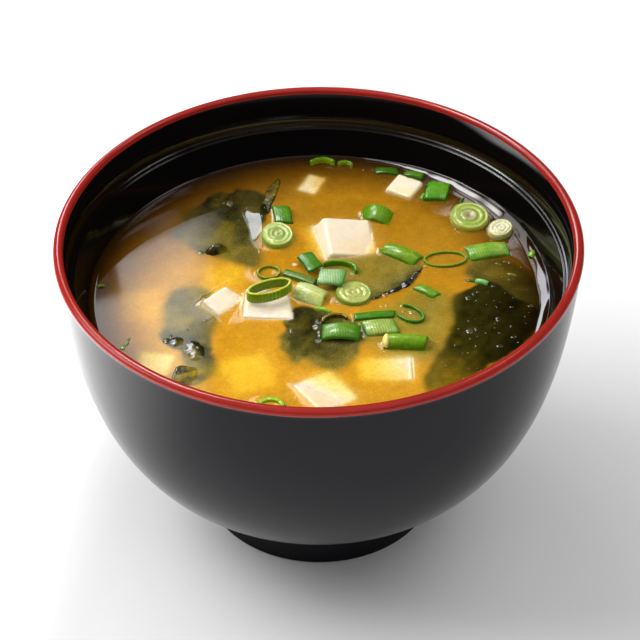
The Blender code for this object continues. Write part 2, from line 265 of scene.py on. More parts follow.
def broth_material():
    mat, nt, bsdf = new_mat("broth_surface", rough=0.04, ior=1.34)
    tc = node(nt, "ShaderNodeTexCoord")
    att = node(nt, "ShaderNodeAttribute", attribute_name="tint")
    murk = node(nt, "ShaderNodeAttribute", attribute_name="murk")
    cloud = remap(nt, noise_node(nt, 330.0, 4.0, 0.6, tc), 0.90, 1.10)
    soft = remap(nt, noise_node(nt, 1500.0, 3.0, 0.65, tc), 0.88, 1.12)
    rough = remap(nt, noise_node(nt, 2400.0, 3.0, 0.7, tc), 0.50, 1.60, 0.32, 0.68)
    m = node(nt, "ShaderNodeMix", data_type="FLOAT")
    nt.links.new(murk.outputs["Fac"], m.inputs[0])
    nt.links.new(soft, m.inputs[2])
    nt.links.new(rough, m.inputs[3])
    nt.links.new(scaled(nt, att.outputs["Color"], times(nt, cloud, m.outputs[0])), bsdf.inputs["Base Color"])
    return mat


def tofu_material():
    mat, nt, bsdf = new_mat("bean_curd", rough=0.34, ior=1.36, sss=0.45, sss_scale=0.0018, radius=(1.0, 0.72, 0.42),
                            coat=0.20, coat_rough=0.12)
    tint = tint_node(nt)
    nt.links.new(scaled(nt, tint, remap(nt, noise_node(nt, 700.0, 4.0, 0.6), 0.94, 1.04)), bsdf.inputs["Base Color"])
    bump(nt, bsdf, noise_node(nt, 1500.0, 4.0, 0.6), 0.22, 0.00008)
    return mat


def leaf_material():
    mat, nt, bsdf = new_mat("sea_vegetable", rough=0.20, ior=1.40, coat=0.35, coat_rough=0.05)
    tint = tint_node(nt)
    nt.links.new(scaled(nt, tint, remap(nt, noise_node(nt, 900.0, 4.0, 0.6), 0.6, 1.5)), bsdf.inputs["Base Color"])
    nt.links.new(remap(nt, noise_node(nt, 500.0, 3.0), 0.12, 0.32), bsdf.inputs["Roughness"])
    bump(nt, bsdf, noise_node(nt, 800.0, 4.0, 0.6), 0.5, 0.0002)
    return mat


def onion_material(name, rough, coat):
    mat, nt, bsdf = new_mat(name, rough=rough, ior=1.40, sss=0.12, sss_scale=0.0008, radius=(0.7, 1.0, 0.3), coat=coat, coat_rough=0.05)
    bsdf.inputs["Specular IOR Level"].default_value = 0.15
    tint = tint_node(nt)
    nt.links.new(scaled(nt, tint, remap(nt, noise_node(nt, 1300.0, 3.0, 0.6), 0.82, 1.18)), bsdf.inputs["Base Color"])
    bump(nt, bsdf, noise_node(nt, 1500.0, 4.0, 0.6), 0.5, 0.00014)
    return mat


BROTH = broth_material()
TOFU = tofu_material()
LEAF = leaf_material()
GREEN = onion_material("green_stalk", 0.30, 0.32)
PALE = onion_material("pale_stalk", 0.30, 0.32)

pieces = []          # (object, node, slot)


def ride(obj, node_names):
    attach(obj, "root")
    if node_names:
        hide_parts(*node_names)
    return obj


# ---------------------------------------------------------------- bowl
def bezier(p0, p1, p2, p3, steps):
    out = []
    for i in range(steps + 1):
        t = i / steps
        s = 1 - t
        out.append(tuple(s**3 * a + 3 * s * s * t * b + 3 * s * t * t * c + t**3 * d for a, b, c, d in zip(p0, p1, p2, p3)))
    return out


def rounded(points, radius, steps=5):
    """The polyline with each inner corner turned into a small arc."""
    out = [points[0]]
    for a, b, c in zip(points, points[1:], points[2:]):
        a, b, c = Vector(a), Vector(b), Vector(c)
        la, lc = (a - b).length, (c - b).length
        r = min(radius, 0.45 * la, 0.45 * lc)
        p, q = b + (a - b) * (r / la), b + (c - b) * (r / lc)
        for k in range(steps + 1):
            t = k / steps
            out.append(tuple((1 - t) ** 2 * p + 2 * t * (1 - t) * b + t * t * q))
    out.append(points[-1])
    return out


def make_bowl():
    lean = math.radians(WALL_LEAN)
    top = (LEDGE_R - LEDGE_STEP, LEDGE_Z - LEDGE_DROP)
    drop = top[1] - WALL_LEAN_END_Z
    low = (top[0] - math.tan(lean) * drop, WALL_LEAN_END_Z)
    a = (low[0] - 6.5 * math.sin(lean), low[1] - 6.5 * math.cos(lean))
    wall = [(0.0, WELL_Z), (5.0, WELL_Z), (10.0, WELL_Z)] + list(reversed(bezier(low, a, (WELL_FLAT_R + 28.0, WELL_Z), (WELL_FLAT_R, WELL_Z), 26)))
    x0, x1, h = RIM_R - LIP_W, RIM_R, LIP_TOP - RIM_Z
    inner = [wall[-1], top, (top[0] + 0.46, top[1] + 0.02), (top[0] + 0.52, top[1] + 0.72), (top[0] + 1.02, top[1] + 0.80), (x0 - 0.02, RIM_Z - 0.3)]
    lip = [(x0, RIM_Z - 0.3), (x0 + 0.10, RIM_Z + 0.30 * h), (x0 + 0.36, RIM_Z + 0.70 * h), (x0 + 0.75, LIP_TOP - 0.06), (x0 + 1.20, LIP_TOP),
           (x0 + 1.62, RIM_Z + 0.80 * h), (x1 - 0.18, RIM_Z + 0.42 * h), (x1 - 0.02, RIM_Z + 0.02), (x1, RIM_Z - 0.25), (x1 - 0.06, RIM_Z - 0.55), (x1 - 0.16, RIM_Z - 0.8)]
    bt = (RIM_R - LIP_GROOVE, BODY_TOP_Z)
    fl, lo = math.radians(BODY_FLARE), math.radians(BODY_LOW_SLOPE)
    end = (FOOT_TOP_R, FOOT_TOP_Z)
    outer = bezier(bt, (bt[0] - BODY_PULL_TOP * math.sin(fl), bt[1] - BODY_PULL_TOP * math.cos(fl)),
                   (end[0] + BODY_PULL_LOW * math.cos(lo), end[1] + BODY_PULL_LOW * math.sin(lo)), end, 44)
    foot = [(FOOT_TOP_R + 0.25, FOOT_TOP_Z - 1.0), (FOOT_R - 0.1, 1.0), (FOOT_R, 0.45), (FOOT_R - 0.4, 0.0), (FOOT_IN_R + 0.3, 0.0), (FOOT_IN_R, 0.4),
            (FOOT_IN_R - 0.3, FOOT_RECESS), (0.0, FOOT_RECESS)]
    parts = [(wall[:-1], 1), (rounded(inner, 0.24, 6), 1), (rounded(lip, 0.3, 3), 2), ([(x1 - 0.30, RIM_Z - 1.0)] + outer, 0), (rounded([outer[-1]] + foot, 0.35, 4)[1:], 0)]
    prof, kind = [], []
    for line, k in parts:
        for p in line:
            if prof and math.dist(prof[-1], p) < 1e-4:
                continue
            prof.append(p)
            kind.append(k)
    seg = 256
    verts, faces, slots = [(0.0, 0.0, prof[0][1])], [], []
    ang = np.arange(seg) * 2 * math.pi / seg
    rows = prof[1:-1]
    for r, z in rows:
        verts += [(r * math.cos(t), r * math.sin(t), z) for t in ang]
    last = len(verts)
    verts.append((0.0, 0.0, prof[-1][1]))
    for j in range(seg):
        faces.append((0, 1 + j, 1 + (j + 1) % seg))
        slots.append(1)
    for i in range(len(rows) - 1):
        k = 2 if kind[i + 1] == 2 and kind[i + 2] == 2 else (1 if kind[i + 2] == 1 or (kind[i + 1] == 1 and kind[i + 2] == 2) else 0)
        for j in range(seg):
            faces.append((1 + i * seg + j, 1 + (i + 1) * seg + j, 1 + (i + 1) * seg + (j + 1) % seg, 1 + i * seg + (j + 1) % seg))
            slots.append(k)
    b = 1 + (len(rows) - 1) * seg
    for j in range(seg):
        faces.append((b + j, last, b + (j + 1) % seg))
        slots.append(0)
    return build("bowl_lacquered", verts, faces, [BLACK_OUT, BLACK_IN, RED_LIP], slots=slots)


bowl = ride(make_bowl(), ["bowl"])


# ---------------------------------------------------------------- bean curd
def rounded_block(length, width, depth, taper=0.0, narrow=0.0, radius=0.45, seed=0, chips=0.16, step=0.42, flank=0.0, warmth=1.0):
    """A knife-cut cube with softened, slightly torn edges; its top face is centred on the origin."""
    n = [max(6, int(s / step)) for s in (length, width, depth)]
    index, pts, faces = {}, [], []

    def vid(i, j, k):
        key = (i, j, k)
        if key not in index:
            index[key] = len(pts)
            pts.append((i / n[0] * 2 - 1, j / n[1] * 2 - 1, k / n[2] * 2 - 1))
        return index[key]

    for a in range(3):
        b, c = (a + 1) % 3, (a + 2) % 3
        for side in (0, n[a]):
            for p in range(n[b]):
                for q in range(n[c]):
                    quad = []
                    for dp, dq in ((0, 0), (1, 0), (1, 1), (0, 1)):
                        idx = [0, 0, 0]
                        idx[a], idx[b], idx[c] = side, p + dp, q + dq
                        quad.append(vid(*idx))
                    faces.append(quad if side else quad[::-1])
    p = np.array(pts) * np.array([length / 2, width / 2, depth / 2])
    half = np.array([length / 2, width / 2, depth / 2])
    core = np.clip(p, -(half - radius), half - radius)
    d = p - core
    ln = np.linalg.norm(d, axis=1, keepdims=True)
    nrm = np.where(ln > 1e-9, d / np.maximum(ln, 1e-9), 0)
    flat = np.abs(p) >= half - 1e-6
    nrm = np.where(ln > 1e-9, nrm, 0)
    p = core + nrm * np.minimum(ln, radius)
    edge = smooth(1.15, 2.0, flat.sum(1) + (np.abs(p) > half - 1.1).sum(1) * 0.5)
    face_n = nrm / np.maximum(np.linalg.norm(nrm, axis=1, keepdims=True), 1e-9)
    q = p + 31.7 * seed
    wob = 0.12 * fbm(q / 4.0, 2, seed) + 0.025 * fbm(q / 0.9, 2, seed + 5)
    torn = chips * np.clip(fbm(q / 1.3, 2, seed + 9) - 0.12, 0, 1) * edge * 1.6
    p = p + face_n * (wob - torn)[:, None]
    low = 0.5 - p[:, 2] / depth
    spread = 1.0 + taper * low
    u, v = p[:, 0] / length, p[:, 1] / width
    slant = narrow * (u + 0.5) * (v + 0.5)
    out = np.stack([p[:, 0] * spread - slant - flank * (0.5 - u) * low, p[:, 1] * spread, p[:, 2] - depth / 2], 1)
    base = lin(247, 231, 205)
    warm = lin(244, 205, 130)
    k = np.clip(0.35 * smooth(0.5, 5.0, -out[:, 2]) + 0.18 * fbm(q / 4.0, 2, seed + 3) + 0.55 * warmth * smooth(-0.35, 0.75, 0.6 * u - 0.8 * v) - 0.02, 0, 1)
    tint = base * (1 - k[:, None]) + warm * k[:, None]
    return out, faces, tint


BEAN_CURD = [
    ("tofu_middle_back", 7.2, 18.4, 1.1, 9, 12, 7, dict(length=11.0, width=12.0, depth=8.5, taper=0.05, flank=3.6)),
    ("tofu_small_back", 20.2, 37.9, 1.0, -29, 1, 1, dict(length=6.6, width=6.8, depth=5.0)),
    ("tofu_left_high", -10.8, -5.3, 1.0, -3, 1, 7, dict(length=11.2, width=9.0, depth=8.0, narrow=2.0, warmth=0.1)),
    ("tofu_left_low", -21.2, -3.7, 0.7, 47, 3, 14, dict(length=7.6, width=5.4, depth=6.5, warmth=0.3)),
    ("tofu_right_front", 14.3, -26.6, -0.82, 1, -10, 0, dict(length=11.8, width=7.4, depth=7.0, warmth=1.8)),
    ("tofu_front", 1.3, -33.8, -0.15, -58, -4, -8, dict(length=11.0, width=9.6, depth=7.0, warmth=1.3)),
    ("tofu_left_front", -35.6, -24.4, -0.80, -12, -6, 0, dict(length=7.4, width=7.0, depth=3.4, warmth=1.7)),
]
# Sunk cubes: middle of the top face and its depth under the broth, yaw, then size.
SUNK_CURD = [
    ("sunk_tofu_back", -1.5, 39.9, -0.22, 66, 0, 0, dict(length=7.0, width=4.6, depth=4.0, warmth=2.2)),
    ("sunk_tofu_front", -15.0, -27.8, -2.2, 18, 0, 0, dict(length=10.5, width=11.0, depth=7.0)),
    ("sunk_tofu_left", -39.6, -4.6, -3.1, 4, 0, 0, dict(length=8.6, width=10.8, depth=6.0)),
    ("sunk_tofu_behind", -21.1, 5.6, -2.4, 4, 0, 0, dict(length=9.4, width=8.6, depth=6.0)),
]
curd = []
for s, (name, x, y, h, yaw, roll, pitch, dims) in enumerate(BEAN_CURD):
    v, f, t = rounded_block(seed=s + 3, **dims)
    o = build(name + "_curd", v, f, TOFU, tint=t, place=turned(x, y, h, yaw, roll, pitch))
    curd.append(ride(o, [name]))
for s, (name, x, y, h, yaw, roll, pitch, dims) in enumerate(SUNK_CURD):
    v, f, t = rounded_block(seed=s + 23, **dims)
    o = build(name, v, f, TOFU, tint=t, place=turned(x, y, h, yaw, roll, pitch))
    curd.append(ride(o, []))


# ---------------------------------------------------------------- sea vegetable
def outline_curve(points, step, rough, seed):
    """A closed smooth curve through the points, resampled at step, with a ragged edge."""
    p = np.array(points, float)
    n = len(p)
    out = []
    for i in range(n):
        p0, p1, p2, p3 = p[i - 1], p[i], p[(i + 1) % n], p[(i + 2) % n]
        m = max(2, int(np.linalg.norm(p2 - p1) / step))
        for k in range(m):
            t = k / m
            out.append(0.5 * ((2 * p1) + (-p0 + p2) * t + (2 * p0 - 5 * p1 + 4 * p2 - p3) * t**2 + (-p0 + 3 * p1 - 3 * p2 + p3) * t**3))
    out = np.array(out)
    tan = np.roll(out, -1, 0) - np.roll(out, 1, 0)
    nrm = np.stack([tan[:, 1], -tan[:, 0]], 1)
    nrm /= np.maximum(np.linalg.norm(nrm, axis=1, keepdims=True), 1e-9)
    q = np.concatenate([out, np.zeros((len(out), 1))], 1)
    return out + nrm * (rough * fbm(q / 1.6, 3, seed))[:, None]


def leaf_sheet(name, points, depth, slot_nodes, step=0.62, thick=0.34, rough=0.35, seed=0, wave=0.25, wave_len=4.0, edge_lift=0.0, keep_under=None,
               colour=(0.020, 0.021, 0.004), young=(0.115, 0.085, 0.003), young_at=0.42, haze=1.0, fade=None, streak=65.0):
    """A limp leaf from its outline: height over the broth is depth, waved, with a raised or sunk edge."""
    rim = outline_curve(points, step, rough, seed)
    lo, hi = rim.min(0), rim.max(0)
    gx = np.arange(lo[0], hi[0], step)
    gy = np.arange(lo[1], hi[1], step)
    rng = np.random.default_rng(100 + seed)
    G = np.array([(x, y) for x in gx for y in gy]) + rng.uniform(-0.12, 0.12, (len(gx) * len(gy), 2)) * step
    # keep the points that lie inside and away from the edge
    a, b = rim, np.roll(rim, -1, 0)
    keep = []
    for g in G:
        cross = ((a[:, 1] > g[1]) != (b[:, 1] > g[1])) & (g[0] < (b[:, 0] - a[:, 0]) * (g[1] - a[:, 1]) / (b[:, 1] - a[:, 1] + 1e-12) + a[:, 0])
        if cross.sum() % 2 and np.min(np.hypot(*(rim - g).T)) > 0.55 * step:
            keep.append(g)
    allp = np.concatenate([rim, np.array(keep).reshape(-1, 2)])
    n = len(rim)
    vs, _, fs, *_ = delaunay_2d_cdt([Vector(p) for p in allp], [(i, (i + 1) % n) for i in range(n)], [], 1, 1e-5)
    xy = np.array([(v.x, v.y) for v in vs])
    dist = np.array([np.min(np.hypot(*(rim - g).T)) for g in xy])
    q = np.concatenate([xy, np.zeros((len(xy), 1))], 1)
    z = depth(xy) if callable(depth) else np.full(len(xy), float(depth))
    z = z + wave * fbm(q / wave_len, 3, seed + 4) + edge_lift * (1 - smooth(0.0, 2.2, dist)) * (0.6 + 0.8 * fbm(q / 2.6, 2, seed + 6))
    top = np.concatenate([xy, z[:, None] + LEVEL], 1)
    bot = top - np.array([0, 0, thick])
    m = len(top)
    faces = [tuple(f) for f in fs] + [tuple(m + i for i in reversed(f)) for f in fs]
    count = {}
    for f in fs:
        for i in range(len(f)):
            e = (f[i], f[(i + 1) % len(f)])
            count[e] = 1
    for (i, j) in list(count):
        if (j, i) not in count:
            faces.append((j, i, m + i, m + j))
    k = smooth(young_at, young_at + 0.3, fbm(q / 3.0, 2, seed + 8) * 0.5 + 0.5)[:, None]
    if fade is not None:
        k = np.clip(k + fade(xy)[:, None], 0, 1)
    col = np.array(colour) * (1 - k) + np.array(young) * k
    ca, sa = math.cos(math.radians(streak)), math.sin(math.radians(streak))
    run = np.stack([(xy[:, 0] * ca + xy[:, 1] * sa) / 4.5, (xy[:, 1] * ca - xy[:, 0] * sa) / 0.75, np.zeros(len(xy))], 1)
    col = col * np.clip(1 + 0.9 * fbm(run, 2, seed + 21) + 0.6 * fbm(q / 1.0, 2, seed + 22), 0.25, 2.6)[:, None]
    # painted shade: the underside takes the top colour darkened by a fifth
    tint = np.concatenate([col, col * 0.8])
    o = build(name, np.concatenate([top, bot]), faces, LEAF, tint=tint)
    HAZINESS[name] = haze
    return ride(o, slot_nodes)


HAZINESS = {}


def shift(points, depth):
    """An outline as given; the depth is a reminder of how far down it lies."""
    return list(points)


def mound(p, x, y, r):
    return np.exp(-((p[:, 0] - x) ** 2 + (p[:, 1] - y) ** 2) / r**2)


def band(points, widths):
    """The outline of a strand from its middle line and half widths."""
    p = np.array(points, float)
    t = np.gradient(p, axis=0)
    n = np.stack([-t[:, 1], t[:, 0]], 1) / np.linalg.norm(t, axis=1, keepdims=True)
    w = np.array(widths)[:, None]
    return [tuple(v) for v in np.concatenate([p + n * w, (p - n * w)[::-1]])]


W1 = [(-33.8, 21.2), (-31.6, 25.4), (-31.0, 29.6), (-27.4, 32.4), (-24.8, 36.4), (-20.7, 36.6), (-18.2, 38.4), (-13.6, 36.4), (-11.6, 32.0), (-12.9, 24.4), (-13.8, 16.9),
      (-12.6, 10.2), (-15.0, 8.2), (-18.6, 10.4), (-21.8, 11.2), (-24.6, 13.0), (-27.4, 13.4), (-30.2, 17.5)]
W2 = [(-27.0, 2.6), (-24.7, 0.7), (-22.8, -2.8), (-22.6, -9.0), (-22.6, -13.2), (-23.8, -16.0), (-23.0, -20.0), (-22.0, -25.2), (-23.4, -28.6), (-26.5, -28.1), (-28.6, -24.8),
      (-30.1, -20.5), (-34.6, -16.4), (-34.0, -11.1), (-34.3, -5.4), (-33.0, -1.0), (-30.0, 1.8)]
W3 = [(-5.4, -5.4), (-1.5, -6.0), (0.7, -6.6), (3.4, -8.3), (6.2, -11.1), (8.0, -15.1), (6.6, -18.9), (4.6, -22.6), (2.0, -23.4), (-1.1, -21.6), (-3.5, -22.4), (-6.2, -20.1),
      (-6.8, -16.4), (-6.0, -13.2), (-6.6, -9.9)]
W4 = [(0.7, 3.3), (3.7, 10.5), (7.1, 12.6), (12.1, 13.3), (18.4, 12.9), (22.4, 10.3), (23.2, 8.1), (21.5, 4.5), (18.3, 1.0), (14.9, -1.1), (12.9, -2.7), (10.9, -3.3),
      (6.9, -4.5), (3.6, -3.1)]
W5 = [(29.4, -2.2), (32.4, 0.2), (34.6, 1.3), (37.4, 3.1), (38.7, 3.3), (40.0, 2.2), (41.7, 0.1), (43.5, -2.1), (46.0, -4.2), (48.2, -5.9), (48.6, -9.8), (46.8, -14.6),
      (42.5, -20.3), (38.3, -24.0), (33.4, -28.3), (28.3, -32.3), (23.2, -35.2), (22.3, -31.5), (23.0, -27.6), (24.4, -24.4), (26.3, -20.4), (28.0, -15.4), (29.3, -11.0), (29.6, -6.1)]
RIM4 = band([(11.4, -3.1), (13.1, -2.3), (14.9, -0.9), (17.2, 0.5), (19.0, 1.9), (20.4, 3.3), (21.4, 5.0), (22.8, 7.2), (23.6, 8.8)], [0.16, 0.42, 0.34, 0.55, 0.70, 0.95, 0.70, 0.40, 0.15])
STRAND = band([(-9.4, 41.6), (-10.2, 38.8), (-11.0, 36.0), (-11.6, 33.4), (-12.2, 31.0), (-12.6, 28.6), (-13.2, 27.0)], [0.35, 0.95, 1.25, 1.05, 1.2, 0.95, 0.4])
OLIVE = [(-31.2, -30.6), (-31.1, -27.3), (-29.9, -25.3), (-26.5, -25.7), (-23.9, -27.1), (-23.9, -29.3), (-26.4, -31.4)]

leaves = [
    leaf_sheet("sunk_wakame_back", shift(W1, 1.2), lambda p: -0.60 - 1.3 * smooth(7, 22, np.hypot(p[:, 0] + 17, p[:, 1] - 30)) + 2.3 * mound(p, -24.2, 14.4, 1.7) + 1.9 * mound(p, -22.2, 15.4, 1.5), [], seed=1,
               wave=1.0, wave_len=5.0, rough=1.1, haze=0.80),
    leaf_sheet("sunk_wakame_left", shift(W2, 1.2), lambda p: -1.25 + 0.7 * smooth(-29, -23.5, p[:, 0]) * (1 - smooth(-18, -13, -p[:, 1])) + 1.2 * mound(p, -28.5, -18.0, 4.8) + 0.9 * mound(p, -25.0, -22.0, 3.0), [],
               seed=2, wave=1.0, wave_len=4.5, rough=1.1, haze=0.62),
    leaf_sheet("sunk_wakame_middle", shift(W4, 2.0),
               lambda p: -0.15 - 3.0 * smooth(-0.5, 5.0, -(p[:, 0] - 12.2) * 0.699 + (p[:, 1] + 3.6) * 0.717), [], seed=4, wave=0.45, wave_len=2.6, rough=0.5, haze=1.65,
               colour=(0.030, 0.027, 0.008), young=(0.10, 0.08, 0.008)),
    leaf_sheet("wakame_middle_leaf", W3, lambda p: -0.14 - 0.6 * smooth(-2.0, 6.5, p[:, 0]) - 0.25 * (1 - smooth(-22, -15, p[:, 1])), ["wakame_middle"], seed=3, wave=0.30,
               wave_len=2.4, rough=0.7, haze=0.55, colour=(0.012, 0.012, 0.0015), young=(0.05, 0.04, 0.002)),
    leaf_sheet("sunk_wakame_under", [(-7.6, -9.4), (-7.4, -13.0), (-8.8, -16.6), (-8.0, -20.4), (-5.0, -24.6), (-3.0, -23.6), (-0.6, -25.6), (2.2, -27.4), (5.6, -25.8), (7.6, -23.0),
               (9.0, -19.4), (10.2, -15.4), (8.8, -11.4), (3.0, -8.6), (-2.0, -6.6)], lambda p: -0.75 - 0.9 * (1 - smooth(-27, -20, p[:, 1])), [], seed=13, wave=1.0, wave_len=4.0, rough=1.0,
               haze=0.95, colour=(0.020, 0.019, 0.003), young=(0.08, 0.06, 0.004)),
    leaf_sheet("wakame_right_leaf", W5,
               lambda p: -0.12 - 0.55 * (1 - smooth(0, 2.6, p[:, 0] - 22.9 - 0.225 * (p[:, 1] + 35))) - 0.15 * (1 - smooth(-33, -22, p[:, 1])), ["wakame_right"],
               seed=5, wave=0.12, wave_len=3.0, rough=0.6, streak=58.0, colour=(0.0170, 0.0165, 0.0010), young=(0.150, 0.090, 0.0015), young_at=0.76, haze=0.16,
               fade=lambda p: 1.0 * (1 - smooth(2, 17, (p[:, 0] - 24) * 0.35 + (p[:, 1] + 34) * 0.94)) + 0.30 * smooth(43, 47, p[:, 0])),
    leaf_sheet("sunk_wakame_right", [(33, 8), (38, 11), (45, 9), (49.5, 2), (49.5, -12), (46, -14), (43, -6), (40, 1), (36, 2)], -1.3, [],
               seed=11, wave=1.0, wave_len=5.0, rough=1.4, step=0.7, haze=0.7, colour=(0.035, 0.030, 0.003), young=(0.16, 0.11, 0.004)),
    leaf_sheet("sunk_wakame_deep", [(10, -10), (16, -4), (24, 0), (30, -4), (29, -14), (26, -22), (20, -24), (14, -22), (10, -17)], -3.6, [], seed=12,
               wave=1.6, wave_len=5.0, rough=1.6, step=0.8, haze=1.2, colour=(0.05, 0.045, 0.010), young=(0.14, 0.11, 0.012)),
    leaf_sheet("wakame_edge_leaf", RIM4, 0.08, ["wakame_edge_middle"], seed=6, wave=0.34, wave_len=1.4, step=0.30, rough=0.45, thick=0.7, colour=(0.006, 0.007, 0.004),
               young=(0.03, 0.03, 0.008), young_at=0.6),
    leaf_sheet("wakame_back_leaf", STRAND, 0.16, ["wakame_back"], seed=7, wave=0.16, wave_len=3.4, step=0.35, rough=0.22, thick=0.6, colour=(0.020, 0.022, 0.001),
               young=(0.10, 0.07, 0.003), young_at=0.5, fade=lambda p: 0.6 * smooth(34, 40, p[:, 1]), haze=0.3),
    leaf_sheet("wakame_left_leaf", [(-34.4, -15.6), (-32.0, -14.0), (-28.6, -15.0), (-25.4, -16.4), (-23.0, -19.6), (-25.4, -21.4), (-29.0, -20.4), (-32.6, -18.6)],
               lambda p: -0.65 + 1.05 * mound(p, -31.0, -17.2, 2.3) + 0.95 * mound(p, -26.2, -19.4, 2.1), ["wakame_left"], seed=8, wave=0.14, wave_len=1.6, step=0.40, rough=0.2,
               haze=0.5, young_at=0.5),
    leaf_sheet("wakame_left_front_leaf", OLIVE, lambda p: 0.34 - 0.07 * (p[:, 0] + 31.0) - 0.5 * smooth(-26.5, -23.8, p[:, 0]) - 0.1 * (1 - smooth(-31, -28, p[:, 1])), ["wakame_left_front"], seed=9,
               wave=0.08, step=0.35, rough=0.25, haze=0.25, colour=(0.060, 0.052, 0.002), young=(0.20, 0.14, 0.003), young_at=0.35, streak=20.0),
]

# ---------------------------------------------------------------- spring onion
G_DARK, G_MID, G_LIGHT = lin(22, 88, 4), lin(70, 140, 10), lin(160, 206, 96)
LIME, LIME_PALE, CREAM, WHITE = lin(128, 170, 22), lin(196, 212, 112), lin(226, 230, 178), lin(240, 244, 226)


def stripes(t, spacing, seed, sharp=1.6):
    """0 to 1 ribs along t (mm), uneven in pitch."""
    q = np.stack([t / 3.1, np.full_like(t, seed * 3.7), np.zeros_like(t)], 1)
    ph = 2 * math.pi * (t / spacing + 0.35 * vnoise(q, seed))
    s = 0.5 + 0.5 * np.cos(ph)
    amp = 0.65 + 0.5 * vnoise(np.stack([t / 1.3, np.full_like(t, seed * 9.1), np.zeros_like(t)], 1), seed + 1)
    return np.clip(s ** sharp * amp, 0, 1)


def tube_piece(length, width, wall, height, start=0.0, sweep=360.0, seed=0, outer=G_MID, inner=LIME, rim=None, ribs=0.055, **_):
    rim = G_LIGHT if rim is None else rim
    a, b, h = length / 2, width / 2, height / 2
    whole = sweep > 359
    per = math.pi * (3 * (a + b) - math.sqrt((3 * a + b) * (a + 3 * b))) * sweep / 360
    n = max(24, int(per / 0.17))
    m = 18
    t = math.radians(start) + math.radians(sweep) * np.arange(n if whole else n + 1) / n
    ph = 2 * math.pi * np.arange(m) / m
    cx = np.sign(np.cos(ph)) * np.abs(np.cos(ph)) ** 0.45
    cz = np.sign(np.sin(ph)) * np.abs(np.sin(ph)) ** 0.55
    T, CX = np.meshgrid(t, cx, indexing="ij")
    _, CZ = np.meshgrid(t, cz, indexing="ij")
    arc = T * (a + b) / 2
    rib = stripes(arc.ravel(), 0.62, seed).reshape(arc.shape)
    q = np.stack([np.cos(T) * 1.3 + seed, np.sin(T) * 1.3, CZ * 0.4], -1).reshape(-1, 3)
    wob = fbm(q, 2, seed).reshape(T.shape)
    taper = np.ones_like(T)
    if not whole:
        e = np.minimum(T - T[0, 0], T[-1, 0] - T) * (a + b) / 2
        taper = 0.35 + 0.65 * np.sqrt(smooth(0, 0.5, e))
    off = -wall / 2 + CX * wall / 2 * taper * (1 + 0.16 * wob) + np.where(CX > 0.3, ribs * (rib - 0.5), 0)
    z = CZ * h * (0.55 + 0.45 * taper) * (1 + 0.05 * wob) + 0.10 * wob
    wx = 1 + 0.035 * fbm(np.stack([np.cos(T).ravel() * 0.9, np.sin(T).ravel() * 0.9, np.full(T.size, seed * 2.3)], 1), 1, seed + 2).reshape(T.shape)
    x = (a * wx + off) * np.cos(T)
    y = (b * wx + off) * np.sin(T)
    verts = np.stack([x, y, z], -1).reshape(-1, 3)
    nn = len(t)
    faces = grid_faces(nn, m, wrap_n=whole, wrap_m=True)
    if not whole:
        faces.append(tuple(range(m)))
        faces.append(tuple((nn - 1) * m + k for k in reversed(range(m))))
    k_out = smooth(-0.2, 0.6, CX)[..., None]
    col = inner * (1 - k_out) + (outer * (0.72 + 0.5 * rib[..., None]) + G_LIGHT * 0.18 * rib[..., None]) * k_out
    k_rim = (smooth(0.80, 0.97, CZ) * 0.75)[..., None]
    col = col * (1 - k_rim) + rim * k_rim
    return verts, faces, col.reshape(-1, 3)


